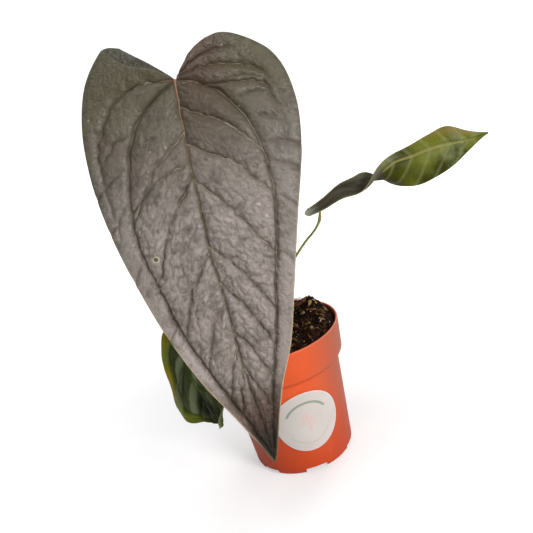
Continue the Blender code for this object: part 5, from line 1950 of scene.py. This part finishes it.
def makeSheaths():
    # dry papery scales round the stem, ribbed lengthways, with a frayed upper edge
    material, tree, shader = newMaterial("paperySheath")
    along, side = attribute(tree, "along"), attribute(tree, "side")
    nerves = tree.nodes.new("ShaderNodeCombineXYZ")
    tree.links.new(times(tree, side, 14.0), nerves.inputs[0])
    tree.links.new(along, nerves.inputs[1])
    streaks = noise(tree, nerves.outputs[0], 3.0, 4, 0.6)
    colour = mixColour(tree, between(tree, streaks, 0.3, 0.7), (0.20, 0.105, 0.045), (0.42, 0.27, 0.13))
    colour = paint(tree, colour, (0.12, 0.060, 0.028), between(tree, along, 0.75, 1.0, 0.0, 0.6))
    setSkin(
        tree, shader, {"Base Color": colour, "Roughness": 0.7, "Normal": bump(tree, streaks, 0.6, 0.0003)}
    )
    low = stemBaseZ + max(rise for _, _, rise in roots["lines"]) * mm + roots["radius"] + sheaths["lift"]
    for i, (direction, height, share) in enumerate(sheaths["scales"]):
        t = np.linspace(0, 1, 61)[:, None]
        s = np.linspace(-1, 1, 41)[None, :]
        radius = stem["radius"] + 1.1 * mm + 2.4 * mm * t * t + 0 * s
        radius = radius + 0.10 * mm * np.cos(s * 22) * (1 - t) + 0.30 * mm * np.sin(t * 17 + s * 4 + i) * t
        spread = math.pi * share * (1 - 0.94 * t**1.6)
        angle = math.radians(direction) + spread * s + 0.05 * np.sin(t * 9 + i) * t
        top = height * mm * (t - 0.05 * t * (1 + np.sin(s * 13 + i)) * t**6)
        places = np.stack(
            [stem["x"] + radius * np.cos(angle), stem["y"] + radius * np.sin(angle), low + top + 0 * s], -1
        )
        faces = gridQuads(*radius.shape)
        flat = np.stack([(s * spread * radius), t * height * mm + 0 * s], -1).reshape(-1, 2)
        masks = {"along": (t + 0 * s).ravel(), "side": (s + 0 * t).ravel()}
        bladeObject(
            f"sheath{i + 1}", places.reshape(-1, 3), faces.tolist(), flat, masks, [material, material],
            sheaths["thickness"], [f"sheath_{i + 1}"],
        )


def dressLoosePieces():
    # the larger chips, grains and sticks on the mix, with a broken, grainy surface
    bark = tonedMaterial(
        "barkChip",
        [(0.35, (0.010, 0.004, 0.002)), (0.5, (0.034, 0.013, 0.006)), (0.65, (0.100, 0.044, 0.020))], 0.85,
        600, 0.0004, False
    )
    pale = tonedMaterial(
        "perliteGrain", [(0.3, (0.48, 0.42, 0.32)), (0.7, (0.78, 0.73, 0.62))], 0.9, 1500, 0.0002, False
    )
    feed = tonedMaterial(
        "feedGranule", [(0.3, (0.20, 0.21, 0.03)), (0.7, (0.34, 0.34, 0.09))], 0.45, 900, 0.0001, False
    )
    husk = tonedMaterial(
        "coirStick", [(0.3, (0.14, 0.050, 0.018)), (0.7, (0.34, 0.16, 0.06))], 0.8, 900, 0.0002, False
    )
    # start of the node's name: material, slot, roughness of its surface, size against the node
    finishes = {
        "bark_chip": (bark, "bark", 0.9 * mm, 0.72), "perlite": (pale, "perlite", 0.25 * mm, 0.9),
        "fertiliser_granule": (feed, "granule", 0.08 * mm, 0.85),
        "coir_fibre": (husk, "coir", 0.12 * mm, 1.0),
    }
    for name, node in list(nodes.items()):
        for start, (material, slotName, roughness, size) in finishes.items():
            if not name.startswith(start):
                continue
            bm = bmesh.new()
            bm.from_mesh(node.data)
            bm.transform(node.matrix_world)
            bmesh.ops.subdivide_edges(bm, edges=bm.edges, cuts=2, use_grid_fill=True)
            for _ in range(2):
                bmesh.ops.smooth_vert(
                    bm, verts=bm.verts, factor=0.5, use_axis_x=True, use_axis_y=True, use_axis_z=True
                )
            bm.normal_update()
            centre = sum((vert.co for vert in bm.verts), Vector()) / len(bm.verts)
            drop = float(heapHeight(centre.x, centre.y) - mixHeight(centre.x, centre.y))
            if start in ("bark_chip", "coir_fibre"):
                drop = min(drop, 0.8 * mm)
            for vert in bm.verts:
                rough = fractal(vert.co * 420, 0.9, 2.2, 3) * roughness
                vert.co = centre + (vert.co - centre) * size + vert.normal * rough + Vector((0, 0, drop))
            mesh = meshFrom(name + "Rough", bm)
            mesh.shade_smooth()
            finishPiece(newObject(name + "Rough", mesh, material), [name])


makeCamera(cameraSetup)
makeStudio(studio)
print("studio ready")
makeLargeLeaf()
makeOldLeaf()
makeNewLeaf()
makePot()
makeSticker()
print("pot and sticker done")
makeMix()
makeStem()
makeStalks()
makeRoots()
makeSheaths()
dressLoosePieces()
print("potting mix, stem, stalks and roots done")
